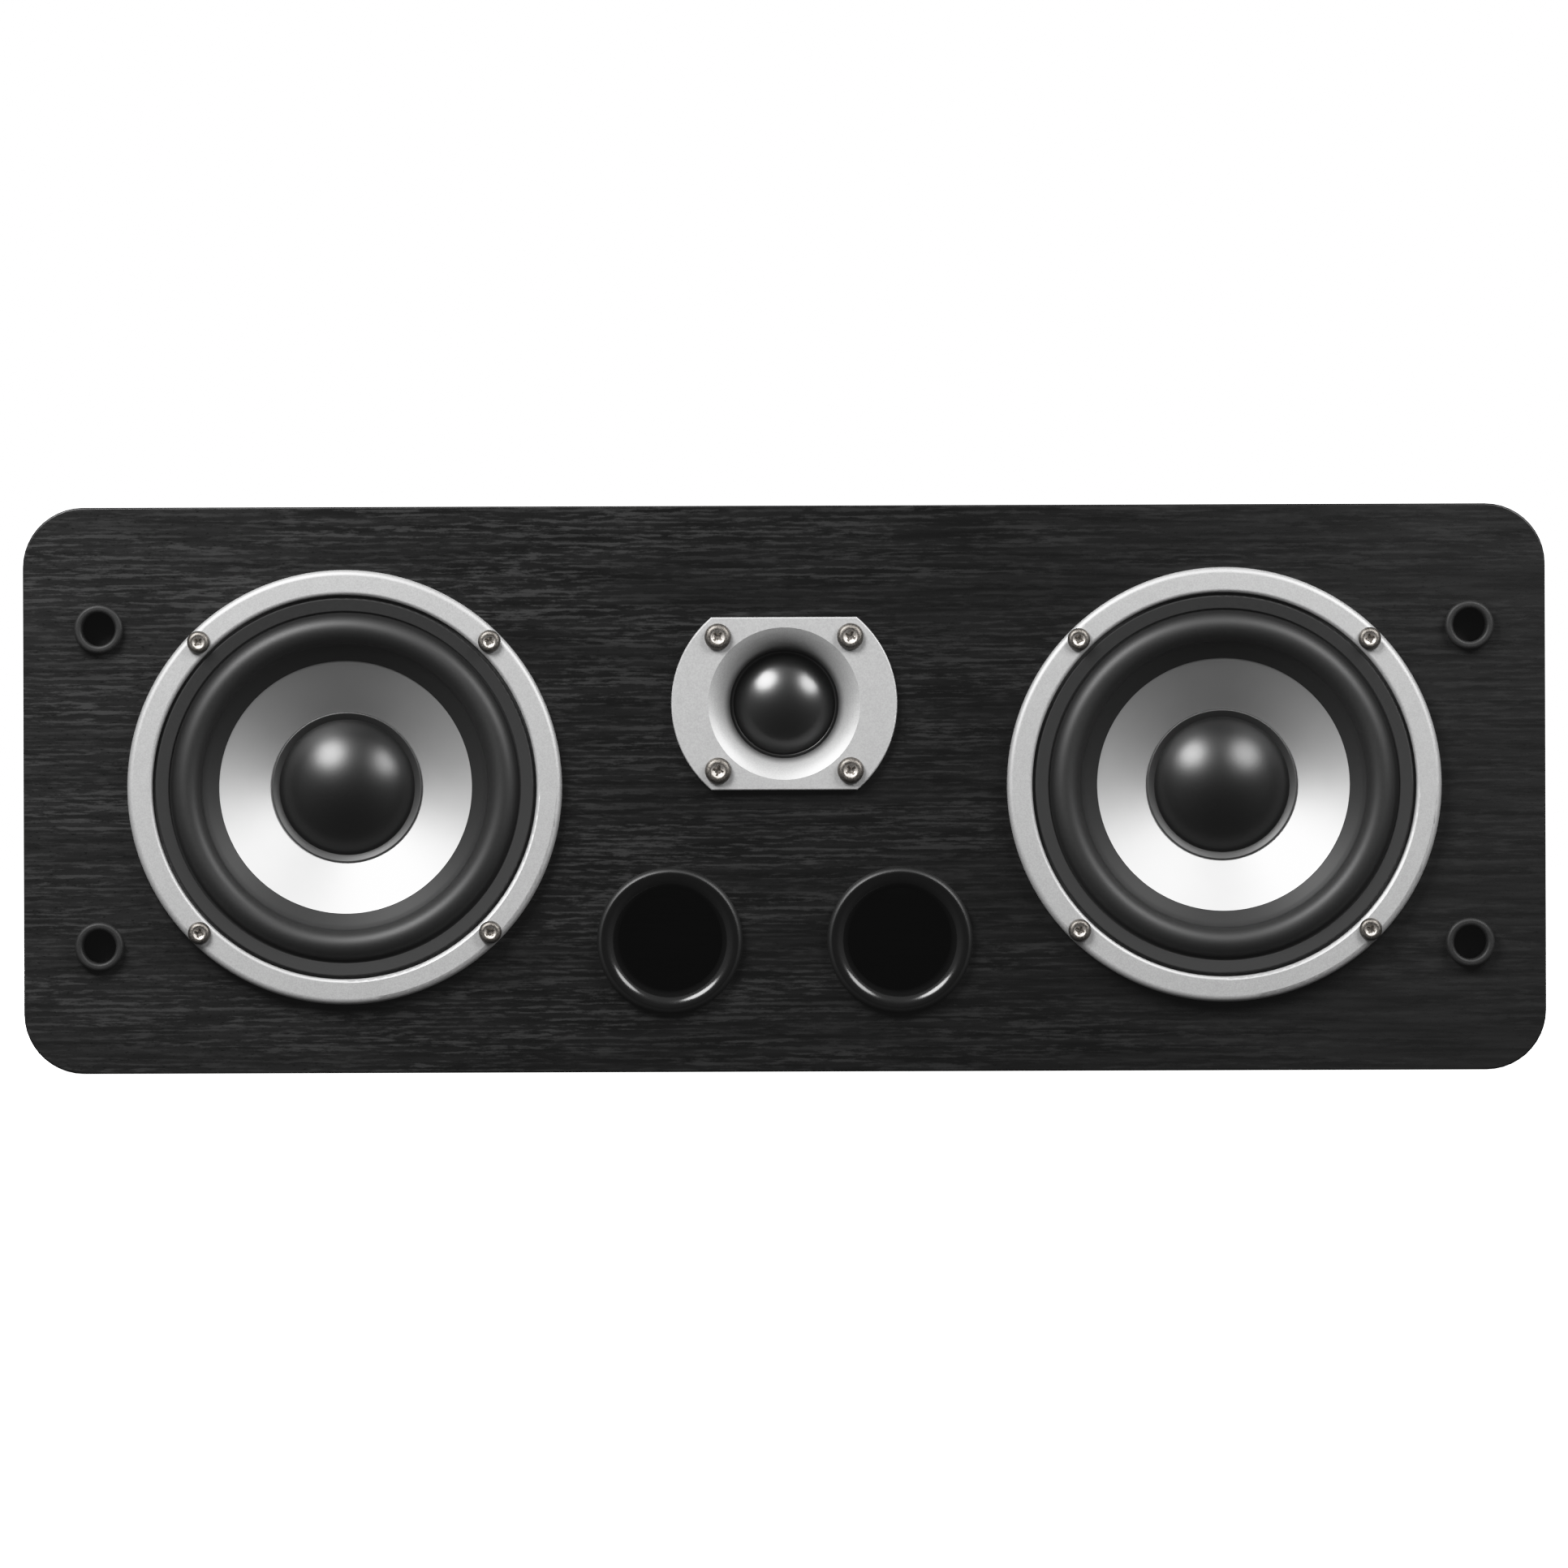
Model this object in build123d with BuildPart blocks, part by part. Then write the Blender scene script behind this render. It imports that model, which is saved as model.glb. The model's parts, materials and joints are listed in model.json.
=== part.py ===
from build123d import *
from math import cos, pi, radians, sin, sqrt, tan
import os

# Center channel speaker, in millimetres.
# X runs to the right as seen from the front, Z runs up and the front faces -Y.
# The origin is the middle of the cabinet's underside.
# Round parts on the baffle are drawn as (radius, height), with height measured out of the front face.

# Cabinet
cabinet_width = 430.0
cabinet_height = 160.0
cabinet_depth = 200.0
corner_radius = 17.0
wrap_wall = 12.0
baffle_thickness = 15.0
baffle_edge_ease = 0.6
rear_panel_thickness = 12.0
rear_panel_recess = 3.0
rear_rebate = 5.0
panel_clearance = 0.3

# Where things sit on the baffle
woofer_end_distance = 90.9
driver_height = 80.8
tweeter_height = 104.0
port_spacing = 65.0
port_height = 37.2
socket_end_distance = 21.5
socket_spacing_z = 89.6

# Fits
glue_line = 0.2
thread_clearance = 0.1
hole_clearance = 0.4
cutout_clearance = 0.6
gap_clearance = 0.5

# Woofer
trim_outer_radius = 61.3
trim_inner_radius = 54.2
trim_height = 4.5
trim_outer_round = 1.6
trim_inner_round = 1.0
trim_skirt = 0.7
gasket_inner_radius = 49.6
gasket_outer_radius = 53.4
gasket_thickness = 1.6
gasket_inner_thickness = 0.9
gasket_round = 0.4
roll_crest_radius = 44.8
roll_half_width = 4.3
surround_thickness = 0.8
surround_flange_thickness = 0.6
surround_outer_radius = 53.2
surround_inner_radius = 35.9
cone_slope = 32.0
cone_edge_radius = 40.4
cone_edge_height = -0.2
cone_thickness = 0.6
cap_skirt_radius = 21.6
cap_radius = 19.1
cap_half_angle = 45.0
cap_thickness = 0.7
cap_seat_width = 0.9
cap_edge_round = 0.3
basket_thickness = 1.0
basket_wall_depth = 8.0
basket_ledge_depth = 22.0
basket_base_depth = 31.0
basket_ledge_outer = 32.0
basket_ledge_inner = 27.5
basket_base_bore = 16.0
basket_window_count = 6
basket_window_radius = 40.5
basket_window_width = 10.0
basket_window_angle = 34.0
coil_inner_radius = 12.5
coil_former_wall = 0.4
coil_winding_wall = 0.6
coil_top_depth = 15.0
coil_winding_length = 10.0
spider_corrugations = 4
spider_amplitude = 1.0
spider_thickness = 0.5
woofer_plate_radius = 30.0
woofer_plate_thickness = 5.0
woofer_magnet_radius = 35.0
woofer_magnet_bore = 17.0
woofer_magnet_thickness = 14.0
woofer_yoke_thickness = 5.0
woofer_vent_radius = 3.0
strip_width = 16.0
strip_reach = 44.0
strip_thickness = 1.6
tab_width = 4.8
tab_thickness = 0.8
tab_length = 8.0
tab_offset = 4.4
tinsel_radius = 0.5
tinsel_bend = 3.0

# Screws on the baffle
woofer_screw_circle_radius = 58.0
woofer_screw_angle = 45.0
woofer_screw_head_radius = 3.2
tweeter_screw_offset_x = 18.7
tweeter_screw_offset_z = 18.9
tweeter_screw_head_radius = 3.75
screw_head_height = 2.3
screw_head_side = 0.8
screw_shank_radius = 1.75
screw_length = 16.0

# Tweeter
plate_radius = 31.9
plate_flat_height = 48.8
plate_thickness = 2.5
plate_edge_ease = 0.4
horn_mouth_radius = 21.5
horn_throat_radius = 15.4
horn_body_radius = 22.6
horn_depth = 7.0
horn_sagitta = 1.5
dome_radius = 13.8
dome_rise = 6.2
dome_thickness = 0.4
dome_roll_radius = 0.7
dome_flange_radius = 19.5
dome_seat = 0.5
tweeter_coil_inner = 12.9
tweeter_coil_wall = 0.6
tweeter_coil_length = 5.2
tweeter_front_plate_radius = 21.0
tweeter_front_plate_thickness = 3.0
tweeter_magnet_radius = 22.5
tweeter_magnet_bore = 15.0
tweeter_magnet_thickness = 9.0
tweeter_yoke_thickness = 3.5
tweeter_strip_width = 22.0
tweeter_strip_height = 9.0

# Ports and grille sockets
port_flange_radius = 20.6
port_bore_radius = 14.7
port_wall = 2.0
port_rim_height = 3.2
port_rim_round = 1.7
port_flare_depth = 1.4
port_length = 95.0
socket_outer_radius = 6.9
socket_bore_radius = 4.7
socket_wall = 0.9
socket_height = 3.0
socket_bore_depth = 10.0
socket_floor = 1.0
socket_round = 0.9

# Terminal cup and binding posts
cup_height = 80.0
cup_flange_width = 84.0
cup_flange_height = 60.0
cup_flange_radius = 8.0
cup_flange_thickness = 2.5
cup_flange_round = 0.8
cup_opening_width = 64.0
cup_opening_height = 42.0
cup_opening_radius = 7.0
cup_depth = 24.0
cup_wall = 2.0
cup_floor = 2.5
cup_draft = 4.0
cup_screw_inset = 5.2
cup_screw_head_radius = 3.2
cup_screw_radius = 1.6
cup_screw_length = 13.0
post_spacing = 19.05
post_radius = 3.0
post_collar_radius = 6.2
post_collar_height = 2.5
post_reach = 19.0
post_tail = 3.0
banana_radius = 2.05
banana_depth = 13.0
wire_hole_radius = 1.3
clamp_washer_thickness = 1.5
clamp_washer_radius = 6.4
knob_radius = 7.0
knob_end_wall = 2.2
knob_mouth_radius = 2.4
knob_flute_count = 16
knob_flute_radius = 0.8
nut_across_flats = 10.0
nut_thickness = 3.0

# Crossover, carried on the binding posts
board_width = 92.0
board_height = 64.0
board_thickness = 1.6
inductor_radius = 14.0
inductor_waist = 11.0
inductor_length = 15.0
inductor_bore = 4.0
inductor_flange = 1.6
inductor_inset = 2.0
capacitor_radius = 6.5
capacitor_length = 26.0
resistor_length = 22.0
resistor_side = 9.0
lead_radius = 1.1
lead_bend = 13.0
lead_pitch = 4.0

# Damping pads
pad_gap = 8.5
pad_thickness = 24.0
pad_round = 8.0

# Derived sizes
front_y = -cabinet_depth / 2
baffle_back_y = front_y + baffle_thickness
rear_y = cabinet_depth / 2
panel_back_y = rear_y - rear_panel_recess
panel_front_y = panel_back_y - rear_panel_thickness
mid_height = cabinet_height / 2
inner_width = cabinet_width - 2 * wrap_wall
inner_height = cabinet_height - 2 * wrap_wall
inner_radius = corner_radius - wrap_wall
woofer_x = cabinet_width / 2 - woofer_end_distance
socket_x = cabinet_width / 2 - socket_end_distance
port_x = port_spacing / 2
post_x = post_spacing / 2
slope = radians(cone_slope)
coil_outer_radius = coil_inner_radius + coil_former_wall
winding_radius = coil_outer_radius + coil_winding_wall
woofer_plate_front = -(basket_base_depth + basket_thickness)
woofer_plate_back = woofer_plate_front - woofer_plate_thickness
woofer_magnet_back = woofer_plate_back - woofer_magnet_thickness
winding_middle = (woofer_plate_front + woofer_plate_back) / 2
ledge_back = -(basket_ledge_depth + basket_thickness)
horn_back = -horn_depth
tweeter_plate_front = horn_back - dome_seat
tweeter_plate_back = tweeter_plate_front - tweeter_front_plate_thickness
tweeter_magnet_back = tweeter_plate_back - tweeter_magnet_thickness
tweeter_yoke_back = tweeter_magnet_back - tweeter_yoke_thickness
cup_face_y = panel_back_y + cup_flange_thickness
cup_floor_y = cup_face_y - cup_depth
cup_back_y = cup_floor_y - cup_floor
collar_y = cup_floor_y + post_collar_height
knob_start_y = collar_y + clamp_washer_thickness
post_end_y = cup_floor_y + post_reach
board_back_y = cup_back_y - nut_thickness
board_face_y = board_back_y - board_thickness
post_tail_y = board_face_y - nut_thickness - post_tail
board_low = cup_height - board_height / 2
inductor_x = board_width / 2 - inductor_radius - inductor_inset
inductor_z = cup_height + board_height / 2 - inductor_radius - inductor_inset
capacitor_z = board_low + capacitor_radius + inductor_inset

pad_inner_x = board_width / 2 + pad_gap
pad_outer_x = inner_width / 2 - pad_gap
pad_height = inner_height - 2 * pad_gap
woofer_screw_x = woofer_screw_circle_radius * cos(radians(woofer_screw_angle))
woofer_screw_z = woofer_screw_circle_radius * sin(radians(woofer_screw_angle))
tweeter_screw_spots = [
    (sx * tweeter_screw_offset_x, tweeter_height + sz * tweeter_screw_offset_z)
    for sx in (-1, 1)
    for sz in (-1, 1)
]
socket_spots = [
    (sx * socket_x, driver_height + sz * socket_spacing_z / 2)
    for sx in (-1, 1)
    for sz in (-1, 1)
]
cup_screw_x = cup_flange_width / 2 - cup_screw_inset
cup_screw_z = cup_flange_height / 2 - cup_screw_inset
cup_screw_spots = [
    (sx * cup_screw_x, cup_height + sz * cup_screw_z)
    for sx in (-1, 1)
    for sz in (-1, 1)
]


def woofer_screw_spots(x):
    """Where the four screws of the woofer at x go."""
    return [
        (x + sx * woofer_screw_x, driver_height + sz * woofer_screw_z)
        for sx in (-1, 1)
        for sz in (-1, 1)
    ]


all_woofer_screw_spots = woofer_screw_spots(-woofer_x) + woofer_screw_spots(woofer_x)


def wall_plane(y):
    """A plane across the cabinet at depth y; sketch x is X, sketch y is Z and it faces the front."""
    return Plane(origin=(0, y, 0), x_dir=(1, 0, 0), z_dir=(0, -1, 0))


def profile_plane(x, z):
    """The half-section plane of a turned part; sketch x is the radius, sketch y is out of the front."""
    return Plane(origin=(x, front_y, z), x_dir=(1, 0, 0), z_dir=(0, 0, -1))


def front_axis(x, z):
    """The axis of a turned part on the baffle."""
    return Axis((x, front_y, z), (0, -1, 0))


def on_cone(radius, lift=0.0):
    """A point lifted squarely off the cone's front surface, given the radius of its foot."""
    height = cone_edge_height - (cone_edge_radius - radius) * tan(slope)
    return (radius - lift * sin(slope), height + lift * cos(slope))


def save(part, name):
    """Label a finished piece and write it."""
    part.label = name
    export_step(part, f"parts/{name}.step")


# Cabinet
def make_cabinet_wrap():
    length = rear_y - baffle_back_y
    rebate_depth = rear_panel_recess + rear_panel_thickness
    with BuildPart() as wrap:
        with BuildSketch(wall_plane(baffle_back_y)):
            with Locations((0, mid_height)):
                RectangleRounded(cabinet_width, cabinet_height, corner_radius)
                RectangleRounded(inner_width, inner_height, inner_radius, mode=Mode.SUBTRACT)
        extrude(amount=-length)
        with BuildSketch(wall_plane(rear_y)):
            with Locations((0, mid_height)):
                RectangleRounded(
                    inner_width + 2 * rear_rebate,
                    inner_height + 2 * rear_rebate,
                    inner_radius + rear_rebate,
                )
        extrude(amount=rebate_depth, mode=Mode.SUBTRACT)
    return wrap.part


def make_front_baffle():
    socket_hole_depth = socket_bore_depth + socket_floor + panel_clearance
    with BuildPart() as baffle:
        with BuildSketch(wall_plane(front_y)):
            with Locations((0, mid_height)):
                RectangleRounded(cabinet_width, cabinet_height, corner_radius)
        extrude(amount=-baffle_thickness)
        fillet(baffle.faces().sort_by(Axis.Y)[0].edges(), baffle_edge_ease)
        with BuildSketch(wall_plane(front_y)):
            with Locations((-woofer_x, driver_height), (woofer_x, driver_height)):
                Circle(gasket_inner_radius + cutout_clearance)
            with Locations((0, tweeter_height)):
                Circle(horn_body_radius + cutout_clearance)
            with Locations((-port_x, port_height), (port_x, port_height)):
                Circle(port_bore_radius + port_wall + panel_clearance)
        extrude(amount=-baffle_thickness, mode=Mode.SUBTRACT)
        with BuildSketch(wall_plane(front_y)):
            with Locations(*socket_spots):
                Circle(socket_bore_radius + socket_wall + panel_clearance)
        extrude(amount=-socket_hole_depth, mode=Mode.SUBTRACT)
        with BuildSketch(wall_plane(front_y)):
            with Locations(*all_woofer_screw_spots, *tweeter_screw_spots):
                Circle(screw_shank_radius + thread_clearance)
        extrude(amount=-baffle_thickness, mode=Mode.SUBTRACT)
    return baffle.part


def make_rear_panel():
    with BuildPart() as panel:
        with BuildSketch(wall_plane(panel_front_y)):
            with Locations((0, mid_height)):
                RectangleRounded(
                    inner_width + 2 * (rear_rebate - panel_clearance),
                    inner_height + 2 * (rear_rebate - panel_clearance),
                    inner_radius + rear_rebate - panel_clearance,
                )
            with Locations((0, cup_height)):
                RectangleRounded(
                    cup_opening_width + 2 * (cup_wall + cutout_clearance),
                    cup_opening_height + 2 * (cup_wall + cutout_clearance),
                    cup_opening_radius + cup_wall,
                    mode=Mode.SUBTRACT,
                )
            with Locations(*cup_screw_spots):
                Circle(cup_screw_radius + thread_clearance, mode=Mode.SUBTRACT)
        extrude(amount=-rear_panel_thickness)
    return panel.part


def make_damping_pads():
    pad_middle_x = (pad_inner_x + pad_outer_x) / 2
    with BuildPart() as pads:
        with BuildSketch(wall_plane(panel_front_y)):
            with Locations((-pad_middle_x, mid_height), (pad_middle_x, mid_height)):
                RectangleRounded(pad_outer_x - pad_inner_x, pad_height, pad_round)
        extrude(amount=pad_thickness)
        fillet(pads.faces().group_by(Axis.Y)[0].edges(), pad_round)
    return pads.part


def make_port_tube(x):
    tube_radius = port_bore_radius + port_wall
    crest = port_flange_radius - port_rim_round
    with BuildPart() as tube:
        with BuildSketch(profile_plane(x, port_height)):
            with BuildLine():
                Polyline(
                    (port_bore_radius, -port_flare_depth),
                    (port_bore_radius, -port_length),
                    (tube_radius, -port_length),
                    (tube_radius, 0),
                    (port_flange_radius, 0),
                    (port_flange_radius, port_rim_height - port_rim_round),
                )
                CenterArc((crest, port_rim_height - port_rim_round), port_rim_round, 0, 90)
                EllipticalCenterArc(
                    (crest, -port_flare_depth),
                    crest - port_bore_radius,
                    port_flare_depth + port_rim_height,
                    start_angle=90,
                    arc_size=90,
                )
            make_face()
        revolve(axis=front_axis(x, port_height))
    return tube.part


def make_grille_sockets():
    barrel = socket_bore_radius + socket_wall
    bottom = -(socket_bore_depth + socket_floor)
    with BuildPart() as sockets:
        for x, z in socket_spots:
            with BuildSketch(profile_plane(x, z)) as profile:
                with BuildLine():
                    Polyline(
                        (0, -socket_bore_depth),
                        (socket_bore_radius, -socket_bore_depth),
                        (socket_bore_radius, socket_height),
                        (socket_outer_radius, socket_height),
                        (socket_outer_radius, 0),
                        (barrel, 0),
                        (barrel, bottom),
                        (0, bottom),
                        close=True,
                    )
                make_face()
                fillet(profile.vertices().group_by(Axis.Y)[-1], socket_round)
            revolve(axis=front_axis(x, z))
    return sockets.part


# Woofer
def make_trim_ring(x):
    with BuildPart() as ring:
        with BuildSketch(profile_plane(x, driver_height)) as profile:
            with BuildLine():
                Polyline(
                    (trim_inner_radius, basket_thickness),
                    (trim_inner_radius, trim_height),
                    (trim_outer_radius, trim_height),
                    (trim_outer_radius, 0),
                    (trim_outer_radius - trim_skirt, 0),
                    (trim_outer_radius - trim_skirt, basket_thickness),
                    close=True,
                )
            make_face()
            fillet(profile.vertices().group_by(Axis.Y)[-1].sort_by(Axis.X)[0], trim_inner_round)
            fillet(profile.vertices().group_by(Axis.Y)[-1].sort_by(Axis.X)[-1], trim_outer_round)
        revolve(axis=front_axis(x, driver_height))
        with BuildSketch(wall_plane(front_y)):
            with Locations(*woofer_screw_spots(x)):
                Circle(screw_shank_radius + hole_clearance)
        extrude(amount=trim_height, mode=Mode.SUBTRACT)
    return ring.part


def make_basket(x):
    wall = gasket_inner_radius - 2 * basket_thickness
    flange = trim_outer_radius - trim_skirt - panel_clearance
    window_outer = basket_window_radius + basket_window_width / 2
    window_inner = basket_window_radius - basket_window_width / 2
    with BuildPart() as basket:
        with BuildSketch(profile_plane(x, driver_height)):
            with BuildLine():
                Polyline(
                    (flange, basket_thickness),
                    (wall + basket_thickness, basket_thickness),
                    (wall + basket_thickness, -basket_wall_depth),
                    (basket_ledge_outer, -basket_ledge_depth),
                    (basket_ledge_inner, -basket_ledge_depth),
                    (basket_ledge_inner, -basket_base_depth),
                    (basket_base_bore, -basket_base_depth),
                    (basket_base_bore, woofer_plate_front),
                    (basket_ledge_inner + basket_thickness, woofer_plate_front),
                    (basket_ledge_inner + basket_thickness, ledge_back),
                    (basket_ledge_outer, ledge_back),
                    (wall + 2 * basket_thickness, -basket_wall_depth),
                    (wall + 2 * basket_thickness, 0),
                    (flange, 0),
                    close=True,
                )
            make_face()
        revolve(axis=front_axis(x, driver_height))
        with BuildSketch(wall_plane(front_y - trim_height)):
            with Locations(*woofer_screw_spots(x)):
                Circle(screw_shank_radius + hole_clearance)
            for n in range(basket_window_count):
                start = 90 + n * 360 / basket_window_count - basket_window_angle / 2
                with BuildLine():
                    far = CenterArc((x, driver_height), window_outer, start, basket_window_angle)
                    near = CenterArc((x, driver_height), window_inner, start, basket_window_angle)
                    Line(far @ 0, near @ 0)
                    Line(far @ 1, near @ 1)
                make_face()
        extrude(amount=-(trim_height + basket_base_depth), mode=Mode.SUBTRACT)
    return basket.part


def make_gasket(x):
    base = basket_thickness + surround_thickness
    with BuildPart() as gasket:
        with BuildSketch(profile_plane(x, driver_height)) as profile:
            with BuildLine():
                Polyline(
                    (gasket_inner_radius, base),
                    (gasket_inner_radius, base + gasket_inner_thickness),
                    (gasket_outer_radius, base + gasket_thickness),
                    (gasket_outer_radius, base),
                    close=True,
                )
            make_face()
            fillet(profile.vertices().sort_by(Axis.Y)[-2:], gasket_round)
        revolve(axis=front_axis(x, driver_height))
    return gasket.part


def make_surround(x):
    base = basket_thickness
    top = basket_thickness + surround_thickness
    outer = roll_half_width
    inner = roll_half_width - surround_thickness
    flange_start = roll_crest_radius + sqrt(outer**2 - surround_thickness**2)
    with BuildPart() as surround:
        with BuildSketch(profile_plane(x, driver_height)):
            with BuildLine():
                Polyline(
                    (roll_crest_radius + inner, base),
                    (surround_outer_radius, base),
                    (surround_outer_radius, top),
                    (flange_start, top),
                )
                ThreePointArc(
                    (flange_start, top),
                    (roll_crest_radius, base + outer),
                    (roll_crest_radius - outer, base),
                )
                Polyline(
                    (roll_crest_radius - outer, base),
                    on_cone(cone_edge_radius, glue_line + surround_flange_thickness),
                    on_cone(surround_inner_radius, glue_line + surround_flange_thickness),
                    on_cone(surround_inner_radius, glue_line),
                    on_cone(cone_edge_radius, glue_line),
                    (roll_crest_radius - inner, base),
                )
                ThreePointArc(
                    (roll_crest_radius - inner, base),
                    (roll_crest_radius, base + inner),
                    (roll_crest_radius + inner, base),
                )
            make_face()
        revolve(axis=front_axis(x, driver_height))
    return surround.part


def make_cone(x):
    neck = coil_outer_radius + glue_line
    with BuildPart() as cone:
        with BuildSketch(profile_plane(x, driver_height)):
            with BuildLine():
                Polyline(
                    on_cone(cone_edge_radius),
                    on_cone(neck),
                    on_cone(neck, -cone_thickness),
                    on_cone(cone_edge_radius, -cone_thickness),
                    close=True,
                )
            make_face()
        revolve(axis=front_axis(x, driver_height))
    return cone.part


def make_dust_cap(x):
    skin = glue_line + cap_thickness
    base_height = on_cone(cap_radius, 0)[1] + skin / cos(slope)
    sphere = cap_radius / sin(radians(cap_half_angle))
    centre = base_height - sphere * cos(radians(cap_half_angle))
    seat_radius = cap_radius - cap_seat_width
    seat = on_cone(seat_radius, 0)[1] + glue_line / cos(slope)
    hollow = sphere - cap_thickness
    hollow_base = (seat_radius, centre + sqrt(hollow**2 - seat_radius**2))
    half = radians(cap_half_angle) / 2
    with BuildPart() as cap:
        with BuildSketch(profile_plane(x, driver_height)) as profile:
            with BuildLine():
                ThreePointArc(
                    (0, centre + sphere),
                    (sphere * sin(half), centre + sphere * cos(half)),
                    (cap_radius, base_height),
                )
                Polyline(
                    (cap_radius, base_height),
                    on_cone(cap_skirt_radius, skin),
                    on_cone(cap_skirt_radius, glue_line),
                    (seat_radius, seat),
                    hollow_base,
                )
                ThreePointArc(
                    hollow_base,
                    (hollow * sin(half), centre + hollow * cos(half)),
                    (0, centre + hollow),
                )
                Line((0, centre + hollow), (0, centre + sphere))
            make_face()
            rim = profile.vertices().sort_by_distance((*on_cone(cap_skirt_radius, skin), 0))[0]
            fillet(rim, cap_edge_round)
        revolve(axis=front_axis(x, driver_height))
    return cap.part


def make_voice_coil(x):
    winding_top = winding_middle + coil_winding_length / 2
    winding_end = winding_middle - coil_winding_length / 2
    with BuildPart() as coil:
        with BuildSketch(profile_plane(x, driver_height)):
            with BuildLine():
                Polyline(
                    (coil_inner_radius, -coil_top_depth),
                    (coil_outer_radius, -coil_top_depth),
                    (coil_outer_radius, winding_top),
                    (winding_radius, winding_top),
                    (winding_radius, winding_end),
                    (coil_inner_radius, winding_end),
                    close=True,
                )
            make_face()
        revolve(axis=front_axis(x, driver_height))
    return coil.part


def make_spider(x):
    start = coil_outer_radius + glue_line
    end = basket_ledge_outer - panel_clearance
    flat = basket_ledge_inner - panel_clearance
    base = -basket_ledge_depth
    steps = 2 * spider_corrugations
    pitch = (flat - start) / (steps + 1)
    wave = [(start, base)]
    for i in range(1, steps + 1):
        wave.append((start + i * pitch, base + spider_amplitude * (1 if i % 2 else -1)))
    wave += [(flat, base), (end, base)]
    upper = [(r, h + spider_thickness) for r, h in reversed(wave)]
    with BuildPart() as spider:
        with BuildSketch(profile_plane(x, driver_height)):
            with BuildLine():
                Polyline(*wave, *upper, close=True)
            make_face()
        revolve(axis=front_axis(x, driver_height))
    return spider.part


def make_ring(x, z, outer, bore, front, thickness):
    """A flat ring on a driver's axis, its front face at the given height."""
    with BuildPart() as ring:
        with BuildSketch(wall_plane(front_y - front)):
            with Locations((x, z)):
                Circle(outer)
                Circle(bore, mode=Mode.SUBTRACT)
        extrude(amount=-thickness)
    return ring.part


def make_pole_yoke(x, z, plate, pole, front, pole_front, thickness, vent):
    """A back plate with the pole standing on it, front being the plate's front face."""
    with BuildPart() as yoke:
        with BuildSketch(wall_plane(front_y - front)):
            with Locations((x, z)):
                Circle(plate)
        extrude(amount=-thickness)
        with BuildSketch(wall_plane(front_y - front)):
            with Locations((x, z)):
                Circle(pole)
        extrude(amount=pole_front - front)
        with BuildSketch(wall_plane(front_y - pole_front)):
            with Locations((x, z)):
                Circle(vent)
        extrude(amount=-(pole_front - front + thickness), mode=Mode.SUBTRACT)
    return yoke.part


def make_woofer_strip(x):
    top = driver_height - basket_ledge_inner - basket_thickness - panel_clearance
    bottom = driver_height - strip_reach
    y = front_y - ledge_back
    with BuildPart() as strip:
        with BuildSketch(wall_plane(y)):
            with Locations((x, (top + bottom) / 2)):
                Rectangle(strip_width, top - bottom)
        extrude(amount=-strip_thickness)
        with BuildSketch(wall_plane(y + strip_thickness)):
            for tab_x in (x - tab_offset, x + tab_offset):
                with Locations((tab_x, bottom + tab_width / 2)):
                    Rectangle(tab_width, tab_thickness)
        extrude(amount=-tab_length)
    return strip.part


def make_tinsel_leads(x):
    from_radius = (cap_radius + surround_inner_radius) / 2
    start = on_cone(from_radius, -(cone_thickness + glue_line + tinsel_radius))
    end_radius = strip_reach - tab_width
    with BuildPart() as leads:
        for side in (-1, 1):
            lead_x = x + side * tab_offset
            with BuildLine() as path:
                FilletPolyline(
                    (lead_x, front_y - start[1], driver_height - start[0]),
                    (lead_x, front_y - start[1] + tinsel_bend, driver_height - end_radius + tinsel_bend),
                    (lead_x, front_y - ledge_back - tinsel_radius, driver_height - end_radius),
                    radius=tinsel_bend,
                )
            with BuildSketch(Plane(origin=path.line @ 0, z_dir=path.line % 0)):
                Circle(tinsel_radius)
            sweep(path=path.line)
    return leads.part


# Screws that hold the drivers
def make_driver_screws(spots, head_radius, seat):
    rise = screw_head_height - screw_head_side
    sphere = (head_radius**2 + rise**2) / (2 * rise)
    centre = seat + screw_head_height - sphere
    middle = head_radius / 2
    with BuildPart() as screws:
        for x, z in spots:
            with BuildSketch(profile_plane(x, z)):
                with BuildLine():
                    Polyline(
                        (0, seat + screw_head_height),
                        (0, seat - screw_length),
                        (screw_shank_radius, seat - screw_length + screw_shank_radius),
                        (screw_shank_radius, seat),
                        (head_radius, seat),
                        (head_radius, seat + screw_head_side),
                    )
                    ThreePointArc(
                        (head_radius, seat + screw_head_side),
                        (middle, centre + sqrt(sphere**2 - middle**2)),
                        (0, seat + screw_head_height),
                    )
                make_face()
            revolve(axis=front_axis(x, z))
    return screws.part


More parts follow.
